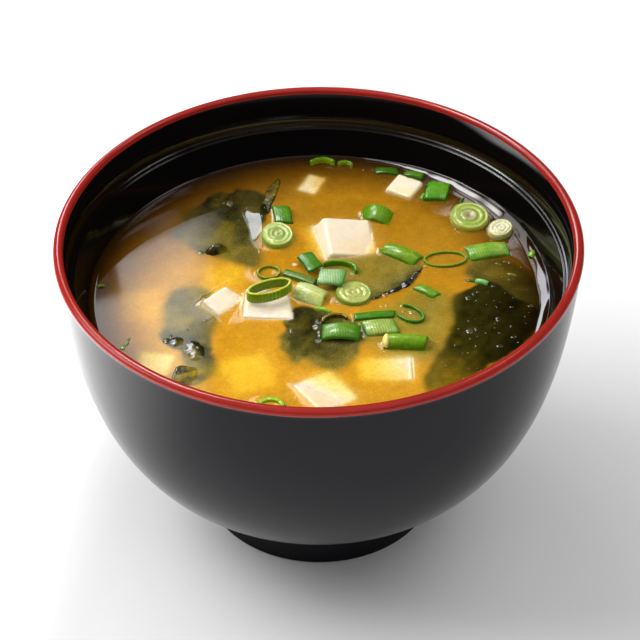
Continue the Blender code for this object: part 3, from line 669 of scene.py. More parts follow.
def strip_piece(length, width, thick, camber=0.0, seed=0, base=G_MID, light=G_LIGHT, dark=G_DARK, arch=0.7, pitch=0.58, ribs=0.035, lightness=0.4, ragged=0.12, along=False, cap=None, **_):
    """A length of green leaf: ribs run across it, it is arched along its length."""
    nu, nv = max(20, int(length / 0.15)), max(10, int(width / 0.22))
    u = np.linspace(-0.5, 0.5, nu + 1)
    v = np.linspace(-0.5, 0.5, nv + 1)
    U, V = np.meshgrid(u, v, indexing="ij")
    X = U * length
    skew = 0.10 * width * np.sin(seed * 1.7)
    Y = V * width * (1 + 0.05 * vnoise(np.stack([X.ravel() / 1.6, np.full(X.size, seed * 1.9), np.zeros(X.size)], 1), seed).reshape(X.shape))
    X = X + skew * V * 2 + ragged * np.sign(U) * smooth(0.36, 0.5, np.abs(U)) * vnoise(np.stack([Y.ravel() / 0.8, np.full(Y.size, seed * 4.9), np.zeros(Y.size)], 1), seed + 3).reshape(Y.shape)
    run = (Y + 0.3 * np.sin(U * 3)) if along else (X + 0.25 * np.sin(V * 3))
    rib = 0.65 * stripes(run.ravel(), pitch, seed + 7).reshape(X.shape) + 0.35 * stripes(run.ravel(), pitch * 0.43, seed + 19).reshape(X.shape)
    edge = np.minimum(0.5 - np.abs(U), 1) * length
    edge_v = (0.5 - np.abs(V)) * width
    rnd = np.sqrt(smooth(0, 0.30, np.minimum(edge, edge_v)))
    mid = camber * (1 - 4 * V * V) - arch * (4 * U * U) + 0.3 * arch
    z = mid + ribs * (rib - 0.5) * rnd
    under = mid - thick
    zc = (z + under) / 2
    ztop = zc + (z - zc) * (0.45 + 0.55 * rnd)
    zbot = zc - (zc - under) * (0.45 + 0.55 * rnd)
    top = np.stack([X, Y, ztop], -1).reshape(-1, 3)
    bot = np.stack([X, Y, zbot], -1).reshape(-1, 3)
    n, m = nu + 1, nv + 1
    faces = grid_faces(n, m) + [tuple(n * m + i for i in reversed(f)) for f in grid_faces(n, m)]
    loop = [(i, 0) for i in range(n)] + [(n - 1, j) for j in range(1, m)] + [(i, m - 1) for i in reversed(range(n - 1))] + [(0, j) for j in reversed(range(1, m - 1))]
    ids = [i * m + j for i, j in loop]
    for a, b in zip(ids, ids[1:] + ids[:1]):
        faces.append((a, n * m + a, n * m + b, b))
    q = np.stack([X.ravel() / 2.4, Y.ravel() / 2.4, np.full(X.size, seed * 5.3)], 1)
    cloud = (0.5 + 0.5 * fbm(q, 2, seed + 11)).reshape(X.shape)
    k = np.clip(lightness * (0.40 + 1.0 * rib) * (0.5 + cloud) * (1 - (0.15 if along else 0.70) * smooth(0.28, 0.5, np.abs(U + 0.06 * np.sin(seed)))), 0, 1)[..., None]
    col = base * (1 - k) + light * k
    kd = (0.30 * (1 - smooth(0.0, 0.30, np.minimum(edge, edge_v))) + 0.45 * smooth(0.05, 0.5, -V) * (1 - lightness) + 0.25 * (1 - rib) * (1 - lightness))[..., None]
    col = col * (1 - np.clip(kd, 0, 0.85)) + dark * np.clip(kd, 0, 0.85)
    col = col.reshape(-1, 3)
    verts, cols = np.concatenate([top, bot]), np.concatenate([col, light * 0.5 + base * 0.4 + np.zeros((len(col), 3))])
    if cap:
        # the cut end of the stalk: a white oval, its middle and half sizes given
        (cx0, cy0, cz0), (ra, rb, rc), ccol = cap
        na, nb = 14, 24
        th = math.pi * (np.arange(na) + 0.5) / na
        ph = 2 * math.pi * np.arange(nb) / nb
        TH, PH = np.meshgrid(th, ph, indexing="ij")
        pts = np.stack([cx0 + ra * np.cos(TH), cy0 + rb * np.sin(TH) * np.cos(PH), cz0 + rc * np.sin(TH) * np.sin(PH)], -1).reshape(-1, 3)
        b0 = len(verts)
        faces = faces + grid_faces(na, nb, wrap_m=True, base=b0) + [tuple(b0 + j for j in range(nb)), tuple(b0 + (na - 1) * nb + j for j in range(nb))]
        kk = smooth(0.2, 0.8, np.cos(TH) * 0.5 + 0.5).reshape(-1, 1)
        verts = np.concatenate([verts, pts])
        cols = np.concatenate([cols, ccol * kk * 0 + ccol * (1 - 0.25 * kk)])
    return verts, faces, cols


def disc_piece(length, width, height, seed=0, rings=((0.0, LIME_PALE), (1.0, LIME)), side=LIME_PALE, grooves=3, ray=0.0, hole=0.0, **_):
    """A slice of firm stalk: nested layers on the cut face, faint ribs on its side."""
    nr, nt = 22, 72
    a, b, h = length / 2, width / 2, height / 2
    t = 2 * math.pi * np.arange(nt) / nt
    verts, cols = [], []
    prof = [(r, 1.0) for r in np.linspace(0.04, 0.93, nr)] + [(0.965, 0.93), (0.99, 0.78), (1.0, 0.5), (1.0, 0.2), (1.0, -0.2), (0.995, -0.5), (0.97, -0.85), (0.90, -1.0), (0.5, -1.0)]
    rr = np.array([p[0] for p in prof])
    zz = np.array([p[1] for p in prof])
    keys = np.array([k for k, _ in rings])
    kcol = np.array([c for _, c in rings])
    for i, (r, z) in enumerate(zip(rr, zz)):
        q = np.stack([np.cos(t) * r * 2.2 + seed, np.sin(t) * r * 2.2, np.full(nt, z)], 1)
        w = 1 + 0.045 * fbm(np.stack([np.cos(t) + seed, np.sin(t), np.zeros(nt)], 1), 2, seed)
        rib = stripes(t * (a + b) / 2, 0.55, seed)
        x = a * r * w * np.cos(t) + (0.03 * rib * np.cos(t) if i > nr else 0)
        y = b * r * w * np.sin(t) + (0.03 * rib * np.sin(t) if i > nr else 0)
        top = i < nr
        lay = 0.0
        if top:
            lay = 0.10 * np.cos(2 * math.pi * grooves * (r + 0.03 * fbm(q, 2, seed + 1))) - hole * (1 - smooth(0.0, 0.22, r)) + 0.05 * fbm(q * 2, 2, seed + 2)
        verts.append(np.stack([x, y, np.full(nt, z * h) + lay], 1))
        if top:
            rad = np.clip(r + 0.035 * fbm(q * 1.5, 2, seed + 5), 0, 1)
            c = np.stack([np.interp(rad, keys, kcol[:, k]) for k in range(3)], 1)
            c = c * (1 + ray * (rib - 0.5))[:, None] * (1 + 0.12 * fbm(q * 3, 2, seed + 6))[:, None]
        else:
            k = (0.5 * rib)[:, None]
            # painted shade: the side darker towards the bottom; the ribs darken it too
            c = side * (1 - 0.35 * k) * (0.95 + 0.1 * z)
        cols.append(c)
    verts = np.concatenate(verts)
    cols = np.concatenate(cols)
    n = len(rr)
    faces = grid_faces(n, nt, wrap_m=True)
    v = np.concatenate([verts, [[0, 0, h - hole], [0, 0, -h]]])
    cols = np.concatenate([cols, [kcol[0]], [side]])
    c0, c1 = n * nt, n * nt + 1
    for j in range(nt):
        faces.append((c0, j, (j + 1) % nt))
        faces.append((c1, (n - 1) * nt + (j + 1) % nt, (n - 1) * nt + j))
    return v, faces, cols


EYE = ((0.0, lin(120, 112, 80)), (0.10, lin(150, 140, 105)), (0.20, lin(178, 172, 130)), (0.34, lin(186, 180, 140)), (0.40, lin(120, 150, 40)), (0.52, lin(122, 156, 36)),
       (0.58, lin(206, 216, 130)), (0.66, lin(134, 168, 44)), (0.80, lin(146, 178, 62)), (0.86, lin(214, 222, 146)), (0.92, lin(120, 152, 40)), (1.0, lin(92, 132, 26)))
EYE_WHITE = ((0.0, lin(206, 206, 170)), (0.18, lin(190, 196, 140)), (0.30, lin(120, 140, 60)), (0.42, lin(150, 176, 70)), (0.52, lin(118, 150, 50)), (0.60, lin(210, 220, 160)),
             (0.78, lin(160, 190, 90)), (0.88, lin(214, 224, 150)), (1.0, lin(104, 146, 30)))
COIN = ((0.0, lin(196, 202, 120)), (0.35, lin(186, 196, 108)), (0.6, lin(178, 190, 96)), (0.8, lin(196, 206, 122)), (0.92, lin(150, 176, 70)), (1.0, lin(108, 140, 34)))
CREAMY = ((0.0, lin(214, 220, 160)), (0.5, lin(206, 214, 140)), (0.8, lin(214, 222, 150)), (1.0, lin(170, 190, 84)))
CHALK = ((0.0, lin(232, 230, 204)), (0.6, lin(226, 226, 190)), (0.85, lin(218, 220, 170)), (1.0, lin(196, 204, 128)))

ONIONS = [
    ("onion_back_left", tube_piece, 1.0, 44.6, 0.2, 0, 0, 0, dict(length=8.4, width=9.0, wall=0.9, height=2.6, start=38, sweep=104, outer=lin(30, 84, 4), rim=lin(54, 108, 14))),
    ("onion_back_right", tube_piece, 6.2, 44.2, 0.1, -6, 0, 0, dict(length=5.4, width=8.0, wall=0.8, height=2.0, start=40, sweep=100, outer=lin(34, 90, 6), rim=lin(60, 112, 18))),
    ("onion_back_flat", strip_piece, 16.2, 44.6, 0.45, -4, 0, 0, dict(length=5.6, width=2.6, thick=0.8, camber=0.2, arch=0.3, lightness=0.10, base=lin(44, 96, 4), dark=lin(14, 60, 2))),
    ("onion_back_small", strip_piece, 22.6, 42.4, 1.0, -16, 0, 0, dict(length=4.6, width=2.4, thick=1.0, camber=0.2, arch=0.3, lightness=0.2, base=lin(66, 124, 14), dark=lin(20, 74, 4))),
    ("onion_square", strip_piece, 27.8, 35.8, 1.1, -4, 3, 4, dict(length=5.4, width=6.2, thick=1.5, camber=0.4, arch=0.3, lightness=0.3, base=lin(44, 148, 6))),
    ("onion_hood", strip_piece, 13.5, 27.4, 0.9, -24, 0, 10, dict(length=7.2, width=4.9, thick=0.7, camber=0.5, arch=1.7, lightness=0.30, base=lin(78, 140, 4), dark=lin(24, 92, 4))),
    ("onion_ringed_right", disc_piece, 34.7, 25.8, 0.3, 0, 2, 2, dict(length=9.0, width=9.6, height=2.4, rings=EYE, hole=0.5, side=lin(180, 180, 60))),
    ("onion_pale_right", disc_piece, 41.6, 21.0, 0.2, -38, 0, 5, dict(length=5.6, width=6.0, height=2.8, rings=CHALK, side=lin(208, 212, 138))),
    ("onion_saddle", strip_piece, 18.6, 12.7, 0.8, -34, 0, 8, dict(length=9.2, width=4.2, thick=0.8, camber=0.7, arch=0.9, lightness=0.34, base=lin(96, 150, 16), light=lin(160, 196, 90))),
    ("onion_thin_ring", tube_piece, 28.6, 10.7, 0.1, 4, 0, 0, dict(length=9.8, width=5.8, wall=0.55, height=1.3, outer=lin(80, 132, 24), inner=lin(96, 130, 14), rim=lin(120, 160, 50))),
    ("onion_ribbed_right", strip_piece, 38.3, 13.4, 0.9, 12, 0, 4, dict(length=9.6, width=4.8, thick=0.9, camber=0.6, arch=0.6, lightness=0.58, base=lin(70, 148, 20), light=lin(168, 212, 128))),
    ("onion_bent_small", strip_piece, 24.0, -0.5, 0.6, -38, 0, 0, dict(length=5.8, width=2.6, thick=0.9, camber=0.3, arch=0.5, lightness=0.4)),
    ("onion_ringed_left", disc_piece, -9.4, 19.5, 0.2, 0, 2, 2, dict(length=7.2, width=8.4, height=2.4, rings=EYE_WHITE, hole=-0.35, side=lin(140, 170, 40))),
    ("onion_behind_left", strip_piece, -8.3, 27.4, 0.9, -3, 0, 6, dict(length=4.2, width=5.8, thick=0.9, camber=0.3, arch=0.2, lightness=0.25, base=lin(42, 122, 12), dark=lin(10, 80, 14))),
    ("onion_small_ring", tube_piece, -11.2, 6.2, 0.2, 10, 0, 0, dict(length=5.4, width=4.8, wall=0.5, height=1.4, outer=lin(90, 132, 24), inner=lin(120, 130, 20), rim=lin(130, 160, 60))),
    ("onion_oval_ring", tube_piece, -11.0, -3.3, 3.1, 23, 0, 0, dict(length=10.8, width=5.0, wall=0.8, height=2.6, outer=lin(116, 172, 4), inner=lin(104, 144, 10), rim=lin(206, 220, 128), ribs=0.04)),
    ("onion_dark_strip", strip_piece, -4.2, 4.2, 1.0, -29, 0, 0, dict(length=8.2, width=2.4, thick=0.8, camber=0.2, arch=0.2, lightness=0.3, base=lin(70, 118, 50), light=lin(150, 176, 130), dark=lin(18, 66, 20))),
    ("onion_ragged", strip_piece, -1.9, 8.5, 2.0, -64, 0, 0, dict(length=6.0, width=4.0, thick=0.7, camber=0.3, arch=0.2, lightness=0.28, ragged=0.5, base=lin(44, 118, 12), light=lin(130, 186, 120), dark=lin(6, 72, 22))),
    ("onion_half_ring", tube_piece, 4.4, 6.6, 0.5, -6, 0, 0, dict(length=8.8, width=6.4, wall=0.8, height=2.0, start=-10, sweep=158, outer=lin(50, 128, 26), inner=lin(74, 128, 14), rim=lin(84, 156, 50))),
    ("onion_ribbed_middle", strip_piece, 2.9, 2.2, 2.6, -6, 0, 8, dict(length=5.8, width=4.6, thick=0.8, camber=0.3, arch=0.15, lightness=0.75, base=lin(64, 146, 50), light=lin(186, 216, 168), dark=lin(10, 108, 20))),
    ("onion_pale_thick", strip_piece, -1.9, -1.7, 0.6, -30, 0, 6, dict(length=7.4, width=5.6, thick=1.2, camber=1.4, arch=0.5, along=True, pitch=0.8, lightness=0.75, base=lin(176, 196, 70), light=lin(226, 230, 184), dark=lin(120, 164, 30))),
    ("onion_pale_disc", disc_piece, 7.8, -1.7, 0.1, 0, 2, 2, dict(length=8.0, width=7.6, height=2.2, rings=COIN, side=lin(120, 150, 50), ray=0.3)),
    ("onion_long_strip", strip_piece, 12.2, -9.0, 0.7, 7, 0, 0, dict(length=9.0, width=2.4, thick=0.8, camber=0.2, arch=0.2, lightness=0.18, base=lin(48, 128, 8), dark=lin(14, 86, 2))),
    ("onion_loop", tube_piece, 19.8, -8.6, 0.3, -40, 0, 0, dict(length=7.8, width=5.0, wall=0.55, height=1.4, start=-120, sweep=262, outer=lin(44, 118, 20), inner=lin(60, 120, 14), rim=lin(70, 140, 36))),
    ("onion_ribbed_front", strip_piece, 13.4, -13.4, 1.0, 6, 0, 5, dict(length=7.4, width=4.4, thick=0.9, camber=0.4, arch=0.5, lightness=0.7, base=lin(54, 138, 36), light=lin(186, 214, 176), dark=lin(20, 104, 4))),
    ("onion_front_green", strip_piece, 4.8, -15.4, 1.6, -2, 0, 8, dict(length=8.4, width=4.4, thick=0.8, camber=0.4, arch=1.0, lightness=0.36, base=lin(56, 130, 12), light=lin(146, 196, 120), dark=lin(14, 92, 4))),
    ("onion_white_green", strip_piece, 18.9, -18.6, 1.3, -5, 0, 0, dict(length=9.0, width=4.0, thick=1.8, camber=1.2, arch=0.35, lightness=0.38, base=lin(96, 160, 10), dark=lin(34, 104, 4), cap=((-4.3, -0.35, -0.15), (0.9, 1.9, 1.35), lin(242, 240, 218)))),
    ("onion_front_edge", tube_piece, -10.2, -38.6, 0.0, -8, 0, 0, dict(length=6.2, width=5.4, wall=1.2, height=1.4, start=5, sweep=170, outer=lin(60, 116, 20))),
]
onions = []
PALE_NODES = {"onion_pale_disc", "onion_pale_right", "onion_pale_thick", "onion_ringed_left", "onion_ringed_right", "onion_ribbed_middle"}
for s, (name, maker, x, y, h, yaw, roll, pitch, dims) in enumerate(ONIONS):
    v, f, t = maker(seed=s + 1, **dims)
    pale = name in PALE_NODES
    t = t * (np.array([0.96, 0.92, 0.84]) if pale else np.array([1.16, 0.92, 0.36]))
    if maker is disc_piece:
        t = 0.76 * t + 0.24 * t.mean(0)
    o = build(name + "_slice", v, f, PALE if pale else GREEN, tint=t, place=turned(x, y, h, yaw, roll, pitch), smooth_angle=60)
    onions.append(ride(o, [name]))


# a curled end of the middle leaf, standing out of the broth
v, f, t = tube_piece(6.4, 5.2, 0.8, 1.2, start=10, sweep=165, seed=41, outer=lin(56, 52, 10), inner=lin(74, 66, 10), rim=lin(118, 106, 26))
curl = ride(build("wakame_middle_curl", v, f, LEAF, tint=t, place=turned(3.6, -11.2, 0.5, 10, 0, 0), smooth_angle=60), ["wakame_middle"])

# ---------------------------------------------------------------- small loose scraps of green, made as one piece
SCRAPS = [  # x, y, lift, yaw, length, width, camber, colour
    (48.3, 12.4, 0.5, 70, 2.2, 1.6, 0.4, lin(120, 170, 40)), (36.4, 2.8, 0.3, -20, 2.8, 1.5, 0.4, lin(110, 176, 90)), (33.9, 3.4, 0.1, -14, 2.6, 0.9, 0.1, lin(60, 78, 6)),
    (-42.6, -19.2, 0.1, 20, 1.3, 1.0, 0.2, lin(140, 176, 80)), (-41.8, -17.8, 0.1, 60, 1.6, 0.7, 0.2, lin(124, 160, 80)), (-41.4, -16.2, 0.1, 80, 1.2, 0.5, 0.1, lin(110, 140, 60)),
    (-48.6, 2.2, 0.3, 10, 2.0, 0.9, 0.2, lin(90, 110, 10)), (-46.4, 2.6, 0.1, -40, 1.3, 0.4, 0.1, lin(100, 110, 20)), (40.4, 9.4, 0.0, -30, 2.4, 0.7, 0.1, lin(86, 90, 6)),
    (43.3, 5.6, 0.0, -20, 2.6, 0.9, 0.1, lin(104, 108, 8)), (24.4, 34.6, 0.4, 70, 2.4, 0.9, 0.2, lin(110, 156, 30)), (33.4, 33.2, 0.1, 60, 2.2, 0.8, 0.2, lin(44, 92, 8)),
    (1.0, -6.6, 0.2, -24, 4.2, 1.0, 0.3, lin(120, 170, 24)), (-10.2, 29.6, 0.2, 60, 1.2, 0.6, 0.1, lin(70, 110, 10)),
]
sv, sf, st, base_i = [], [], [], 0
for i, (x, y, lift, yaw, ln, wd, cam_h, colr) in enumerate(SCRAPS):
    v, f, t = strip_piece(ln, wd, 0.28, camber=cam_h, seed=60 + i, base=colr, light=np.minimum(colr * 1.8 + 0.04, 1), dark=colr * 0.5, arch=0.25, pitch=0.5, ribs=0.02, lightness=0.4, ragged=0.25)
    c, s_ = math.cos(math.radians(yaw)), math.sin(math.radians(yaw))
    sv.append(np.stack([v[:, 0] * c - v[:, 1] * s_ + x, v[:, 0] * s_ + v[:, 1] * c + y, v[:, 2] + LEVEL + lift], 1))
    sf += [tuple(base_i + k for k in face) for face in f]
    st.append(t)
    base_i += len(v)
scraps = ride(build("onion_scraps", np.concatenate(sv), sf, GREEN, tint=np.concatenate(st), smooth_angle=60), [])

# ---------------------------------------------------------------- broth
def disc_grid(n):
    """An even grid over the unit disc, its outer ring exactly round."""
    a = np.linspace(-1, 1, n + 1)
    A, B = np.meshgrid(a, a, indexing="ij")
    swap = np.abs(A) > np.abs(B)
    r = np.where(swap, A, B)
    with np.errstate(divide="ignore", invalid="ignore"):
        phi = np.where(swap, math.pi / 4 * np.nan_to_num(B / np.where(A == 0, 1, A)), math.pi / 2 - math.pi / 4 * np.nan_to_num(A / np.where(B == 0, 1, B)))
    X, Y = r * np.cos(phi), r * np.sin(phi)
    return X, Y


def gather(objects, dim=(1.0, 1.0, 1.0)):
    """The pieces as one search tree, with the colour and the haziness of each face."""
    vs, fs, cs, hs = [], [], [], []
    for o in objects:
        base = len(vs)
        me = o.data
        col = np.zeros(len(me.vertices) * 4, np.float32)
        me.attributes["tint"].data.foreach_get("color", col)
        col = col.reshape(-1, 4)[:, :3]
        vs += [tuple(v.co) for v in me.vertices]
        for p in me.polygons:
            ids = list(p.vertices)
            fs.append([base + i for i in ids])
            cs.append(col[ids].mean(0) * np.array(dim))
            hs.append(HAZINESS.get(o.name, 1.0))
    return BVHTree.FromPolygons(vs, fs), np.array(cs), np.array(hs)


def blur(img, sigma_px):
    """Gaussian blur of an (n, n) or (n, n, k) array."""
    if sigma_px < 0.05:
        return img
    n = img.shape[0]
    fx = np.fft.fftfreq(n)[:, None]
    fy = np.fft.rfftfreq(n)[None, :]
    g = np.exp(-2 * (math.pi * sigma_px) ** 2 * (fx**2 + fy**2))
    if img.ndim == 2:
        return np.fft.irfft2(np.fft.rfft2(img) * g, s=img.shape)
    return np.stack([blur(img[..., k], sigma_px) for k in range(img.shape[2])], -1)


SLANT = 30.0          # half angle of the cone, even all round, over which sunk pieces show through
REACH = np.array([9.0, 2.5, 0.60])      # millimetres of broth that dim red, green and blue to a third
REACH_DARK = np.array([6.0, 3.7, 1.5])   # the same over something dark
HAZE = np.array([0.074, 0.071, 0.028])   # fine particles over something dark
DEEP = np.array([0.590, 0.276, 0.009])


def sunk_tint(tree, fcol, fhaze, xy):
    """Colour of the broth at each point of its surface: cloudy, with what is sunk showing more faintly and softly with depth."""
    res, n = 0.25, 424
    c = (np.arange(n) + 0.5) * res - n * res / 2
    X, Y = np.meshgrid(c, c, indexing="ij")
    P = np.stack([X.ravel(), Y.ravel(), np.zeros(n * n)], 1)
    mott = fbm(P / 7.5, 3, 77).reshape(n, n)
    fine = fbm(P / 1.9, 3, 78).reshape(n, n)
    hue = fbm(P / 6.0, 3, 79).reshape(n, n)
    grit = fbm(P / 0.8, 2, 80).reshape(n, n)
    base = DEEP * (1 + 0.12 * mott + 0.06 * fine)[..., None]
    base[..., 1] *= 1 + 0.06 * hue
    base[..., 2] = base[..., 2] * (1 + 0.9 * hue) + 0.005
    sl = math.radians(SLANT)
    ways = [(Vector((0, 0, -1)), 3.0)]
    ways += [(Vector((math.sin(sl) * math.cos(a), math.sin(sl) * math.sin(a), -math.cos(sl))), 1.0) for a in np.radians(np.arange(6) * 60.0 + 30)]
    up = Vector((0, 0, 1))
    cells = [(i, j) for i in range(n) for j in range(n) if X[i, j] ** 2 + Y[i, j] ** 2 <= 52.3**2]
    inside = {}
    for i, j in cells:
        loc, nrm, idx, dist = tree.ray_cast(Vector((X[i, j] * MM, Y[i, j] * MM, (LEVEL + 0.01) * MM)), up, 0.006)
        if loc is not None and nrm.z > 0:
            inside[i, j] = idx
    img = np.zeros((n, n, 3))
    m, far_down, murk_at, pale_at, glow_at = (np.zeros((n, n)) for _ in range(5))
    total = sum(w for _, w in ways)
    for ray, w in ways:
        w = w / total
        depth = np.full((n, n), 99.0)
        piece = np.zeros((n, n, 3))
        shade = np.ones((n, n))
        hazy = np.ones((n, n))
        for i, j in cells:
            if (i, j) in inside:
                idx = inside[i, j]
                depth[i, j] = 0.0
            else:
                loc, nrm, idx, dist = tree.ray_cast(Vector((X[i, j] * MM, Y[i, j] * MM, (LEVEL + 0.01) * MM)), ray, 0.012)
                if loc is None:
                    continue
                depth[i, j] = dist / MM
                shade[i, j] = 0.84 + 0.16 * abs(nrm.z)
            piece[i, j] = fcol[idx]
            hazy[i, j] = fhaze[idx]
        hit = depth < 50
        d = np.where(hit, depth, 0.0)[..., None]
        dark = 1 - np.clip(piece[..., 1:2] * 1.7, 0, 1)
        T = np.exp(-d / (REACH * (1 - dark) + REACH_DARK * dark))
        haze = HAZE * (0.15 + 0.85 * (1 - np.exp(-d / 0.9))) * np.exp(-d / 5.0) * dark * hazy[..., None]
        seen = piece * shade[..., None] * T + base * (1 - T) * (1 - 0.25 * dark * np.exp(-d / 3.0)) + haze * np.clip(1 + 0.9 * fine + 0.9 * grit, 0.1, 3.0)[..., None]
        img += w * np.where(hit[..., None], seen, base)
        d, dark, h = d[..., 0], dark[..., 0], w * hit
        m += h
        far_down += h * d
        murk_at += h * dark * (0.35 + 0.65 * np.minimum(hazy, 1)) * np.exp(-d / 4.0)
        pale_at += h * (1 - dark) * np.exp(-d / 2.2)
        glow_at += h * (1 - dark) * np.exp(-d / 3.0)
    local = blur(far_down, 1.1 / res) / np.maximum(blur(m, 1.1 / res), 1e-3)
    sigma = np.clip(0.10 + 0.20 * local, 0.1, 2.6)
    steps = [0.10, 0.25, 0.5, 0.85, 1.3, 1.9, 2.7]
    stack = [blur(img, k / res) for k in steps]
    out = stack[0].copy()
    for k in range(len(steps) - 1):
        w = np.clip((sigma - steps[k]) / (steps[k + 1] - steps[k]), 0, 1)[..., None]
        out = np.where(w > 0, stack[k] * (1 - w) + stack[k + 1] * w, out)
    murk = blur(murk_at, 0.5 / res)
    # what is pale lights the broth around it a little
    pale_map = blur(pale_at, 0.3 / res)
    glow = blur(glow_at, 1.6 / res)
    out = out + np.array([0.035, 0.030, 0.010]) * glow[..., None]
    fx = (xy[:, 0] + n * res / 2) / res - 0.5
    fy = (xy[:, 1] + n * res / 2) / res - 0.5
    i0 = np.clip(np.floor(fx).astype(int), 0, n - 2)
    j0 = np.clip(np.floor(fy).astype(int), 0, n - 2)
    u, v = np.clip(fx - i0, 0, 1)[:, None], np.clip(fy - j0, 0, 1)[:, None]
    tint = out[i0, j0] * (1 - u) * (1 - v) + out[i0 + 1, j0] * u * (1 - v) + out[i0, j0 + 1] * (1 - u) * v + out[i0 + 1, j0 + 1] * u * v
    r = np.hypot(*xy.T)
    az = np.degrees(np.arctan2(xy[:, 1], xy[:, 0])) % 360
    # partly painted shade, partly the black wall showing through the thin broth: the broth darkens towards the wall
    # over far millimetres, widest on the back and left where the wall shades it, less near pale sunk pieces
    far = np.interp(az, [0, 40, 75, 100, 150, 180, 215, 270, 300, 360], [15, 16, 15, 19, 22, 16, 12, 7, 10, 15])
    f = np.clip((WET_R - r) / far, 0, 1)
    clear = np.clip(pale_map[i0, j0], 0, 1)[:, None]
    tint = tint * np.stack([0.03 + 0.97 * f**1.3, 0.025 + 0.975 * f**1.42, 0.02 + 0.98 * f**1.7], 1) ** (1 - 0.9 * clear)
    # painted shade: the broth darker towards the back and a little towards the right, less near pale sunk pieces
    front = 0.62 + 0.40 * (1 - smooth(-24, 34, xy[:, 1] + 0.2 * xy[:, 0]))
    return tint * front[:, None] ** (1 - 0.8 * clear), murk[i0, j0]


def make_broth():
    n = 300
    X, Y = disc_grid(n)
    xy = np.stack([X.ravel(), Y.ravel()], 1) * (WET_R + 0.06)
    r = np.hypot(*xy.T)
    side_az = np.degrees(np.arctan2(xy[:, 1], xy[:, 0]))
    wide = smooth(-75, -45, side_az) * (1 - smooth(45, 80, side_az))
    wide = wide * (1 + 0.10 * np.sin(np.radians(side_az) * 13) + 0.07 * np.sin(np.radians(side_az) * 29 + 1))
    width = 1.5 + (MENISCUS_W - 1.5) * wide
    t = np.clip((r - (WET_R - width)) / width, 0, 1)
    z = LEVEL + (0.45 + (MENISCUS_H - 0.45) * wide) * t ** 1.75
    tree, fcol, fhaze = gather(curd + leaves + onions + [curl])
    solid_tree, _, _ = gather(curd[:7] + onions + [curl])
    # the broth climbs a little at every piece that breaks its surface
    lift = np.zeros(len(xy))
    up = Vector((0, 0, 1))
    for i, (x, y) in enumerate(xy):
        o = Vector((x * MM, y * MM, (LEVEL - 0.9) * MM))
        loc, nrm, idx, dist = solid_tree.ray_cast(o, up, 0.006)
        if loc is not None and nrm.z > 0:
            top = loc.z / MM - LEVEL
            if top < 0.5:
                lift[i] = min(0.10, max(top - 0.12, -0.5)) if top > -0.35 else 0.0
            continue
        loc, nrm, idx, dist = solid_tree.find_nearest(Vector((x * MM, y * MM, (LEVEL + 0.2) * MM)), 0.006)
        if loc is not None:
            d = math.hypot(loc.x / MM - x, loc.y / MM - y)
            dz = abs(loc.z / MM - LEVEL - 0.2)
            if dz < 0.5:
                lift[i] = 0.20 * math.exp(-d / 1.2) * (1 - smooth(0.1, 0.5, dz))
    # a wide slope where the film is drawn up to the strand and the ringed slice behind the middle
    sway = 0.9 * np.sin(xy[:, 1] / 2.9 + 0.4)
    start = -17.0 + sway + 0.10 * (xy[:, 1] - 23) ** 2 * (xy[:, 1] < 23) * 0.5
    gx = np.where(xy[:, 0] < -12.6, smooth(0, 1, (xy[:, 0] - start) / (-12.6 - start)), np.exp(-np.clip(xy[:, 0] + 12.6, 0, None) / 0.8))
    lift = np.maximum(lift, 0.62 * gx * smooth(14.0, 21.5, xy[:, 1]) * (1 - smooth(27.0, 33.5, xy[:, 1] + 0.6 * sway)))
    z = z + lift * (1 - t)
    tint, grain = sunk_tint(tree, fcol, fhaze, xy)
    verts = np.concatenate([xy, z[:, None]], 1)
    faces = grid_faces(n + 1, n + 1)
    m = n + 1
    ring = [i * m for i in range(m)] + [(m - 1) * m + j for j in range(1, m)] + [i * m + m - 1 for i in reversed(range(m - 1))] + [j for j in reversed(range(1, m - 1))]
    # the sides follow the wall down, just into it
    lean = math.radians(WALL_LEAN)
    low = (LEDGE_R - LEDGE_STEP - math.tan(lean) * (LEDGE_Z - LEDGE_DROP - WALL_LEAN_END_Z), WALL_LEAN_END_Z)
    a = (low[0] - 6.5 * math.sin(lean), low[1] - 6.5 * math.cos(lean))
    side = bezier(low, a, (WELL_FLAT_R + 28.0, WELL_Z), (WELL_FLAT_R, WELL_Z), 6)
    ang = np.arctan2(xy[ring, 1], xy[ring, 0])
    prev = ring
    vv, tt = [verts], [tint]
    count = len(verts)
    for rr, zz in side:
        row = np.stack([(rr + 0.04) * np.cos(ang), (rr + 0.04) * np.sin(ang), np.full(len(ang), zz - 0.02)], 1)
        vv.append(row)
        tt.append(np.tile(lin(120, 70, 8), (len(ang), 1)))
        ids = list(range(count, count + len(ang)))
        for p in range(len(ang)):
            qn = (p + 1) % len(ang)
            faces.append((prev[p], prev[qn], ids[qn], ids[p]))
        prev = ids
        count += len(ang)
    faces.append(tuple(prev))
    o = build("broth_filling", np.concatenate(vv), faces, BROTH, tint=np.concatenate(tt))
    att = o.data.attributes.new("murk", "FLOAT", "POINT")
    m_all = np.zeros(count, np.float32)
    m_all[:len(grain)] = np.clip(grain, 0, 1)
    att.data.foreach_set("value", m_all)
    return o, xy, z, tint


soup, broth_xy, broth_z, broth_tint = make_broth()
ride(soup, ["soup"])

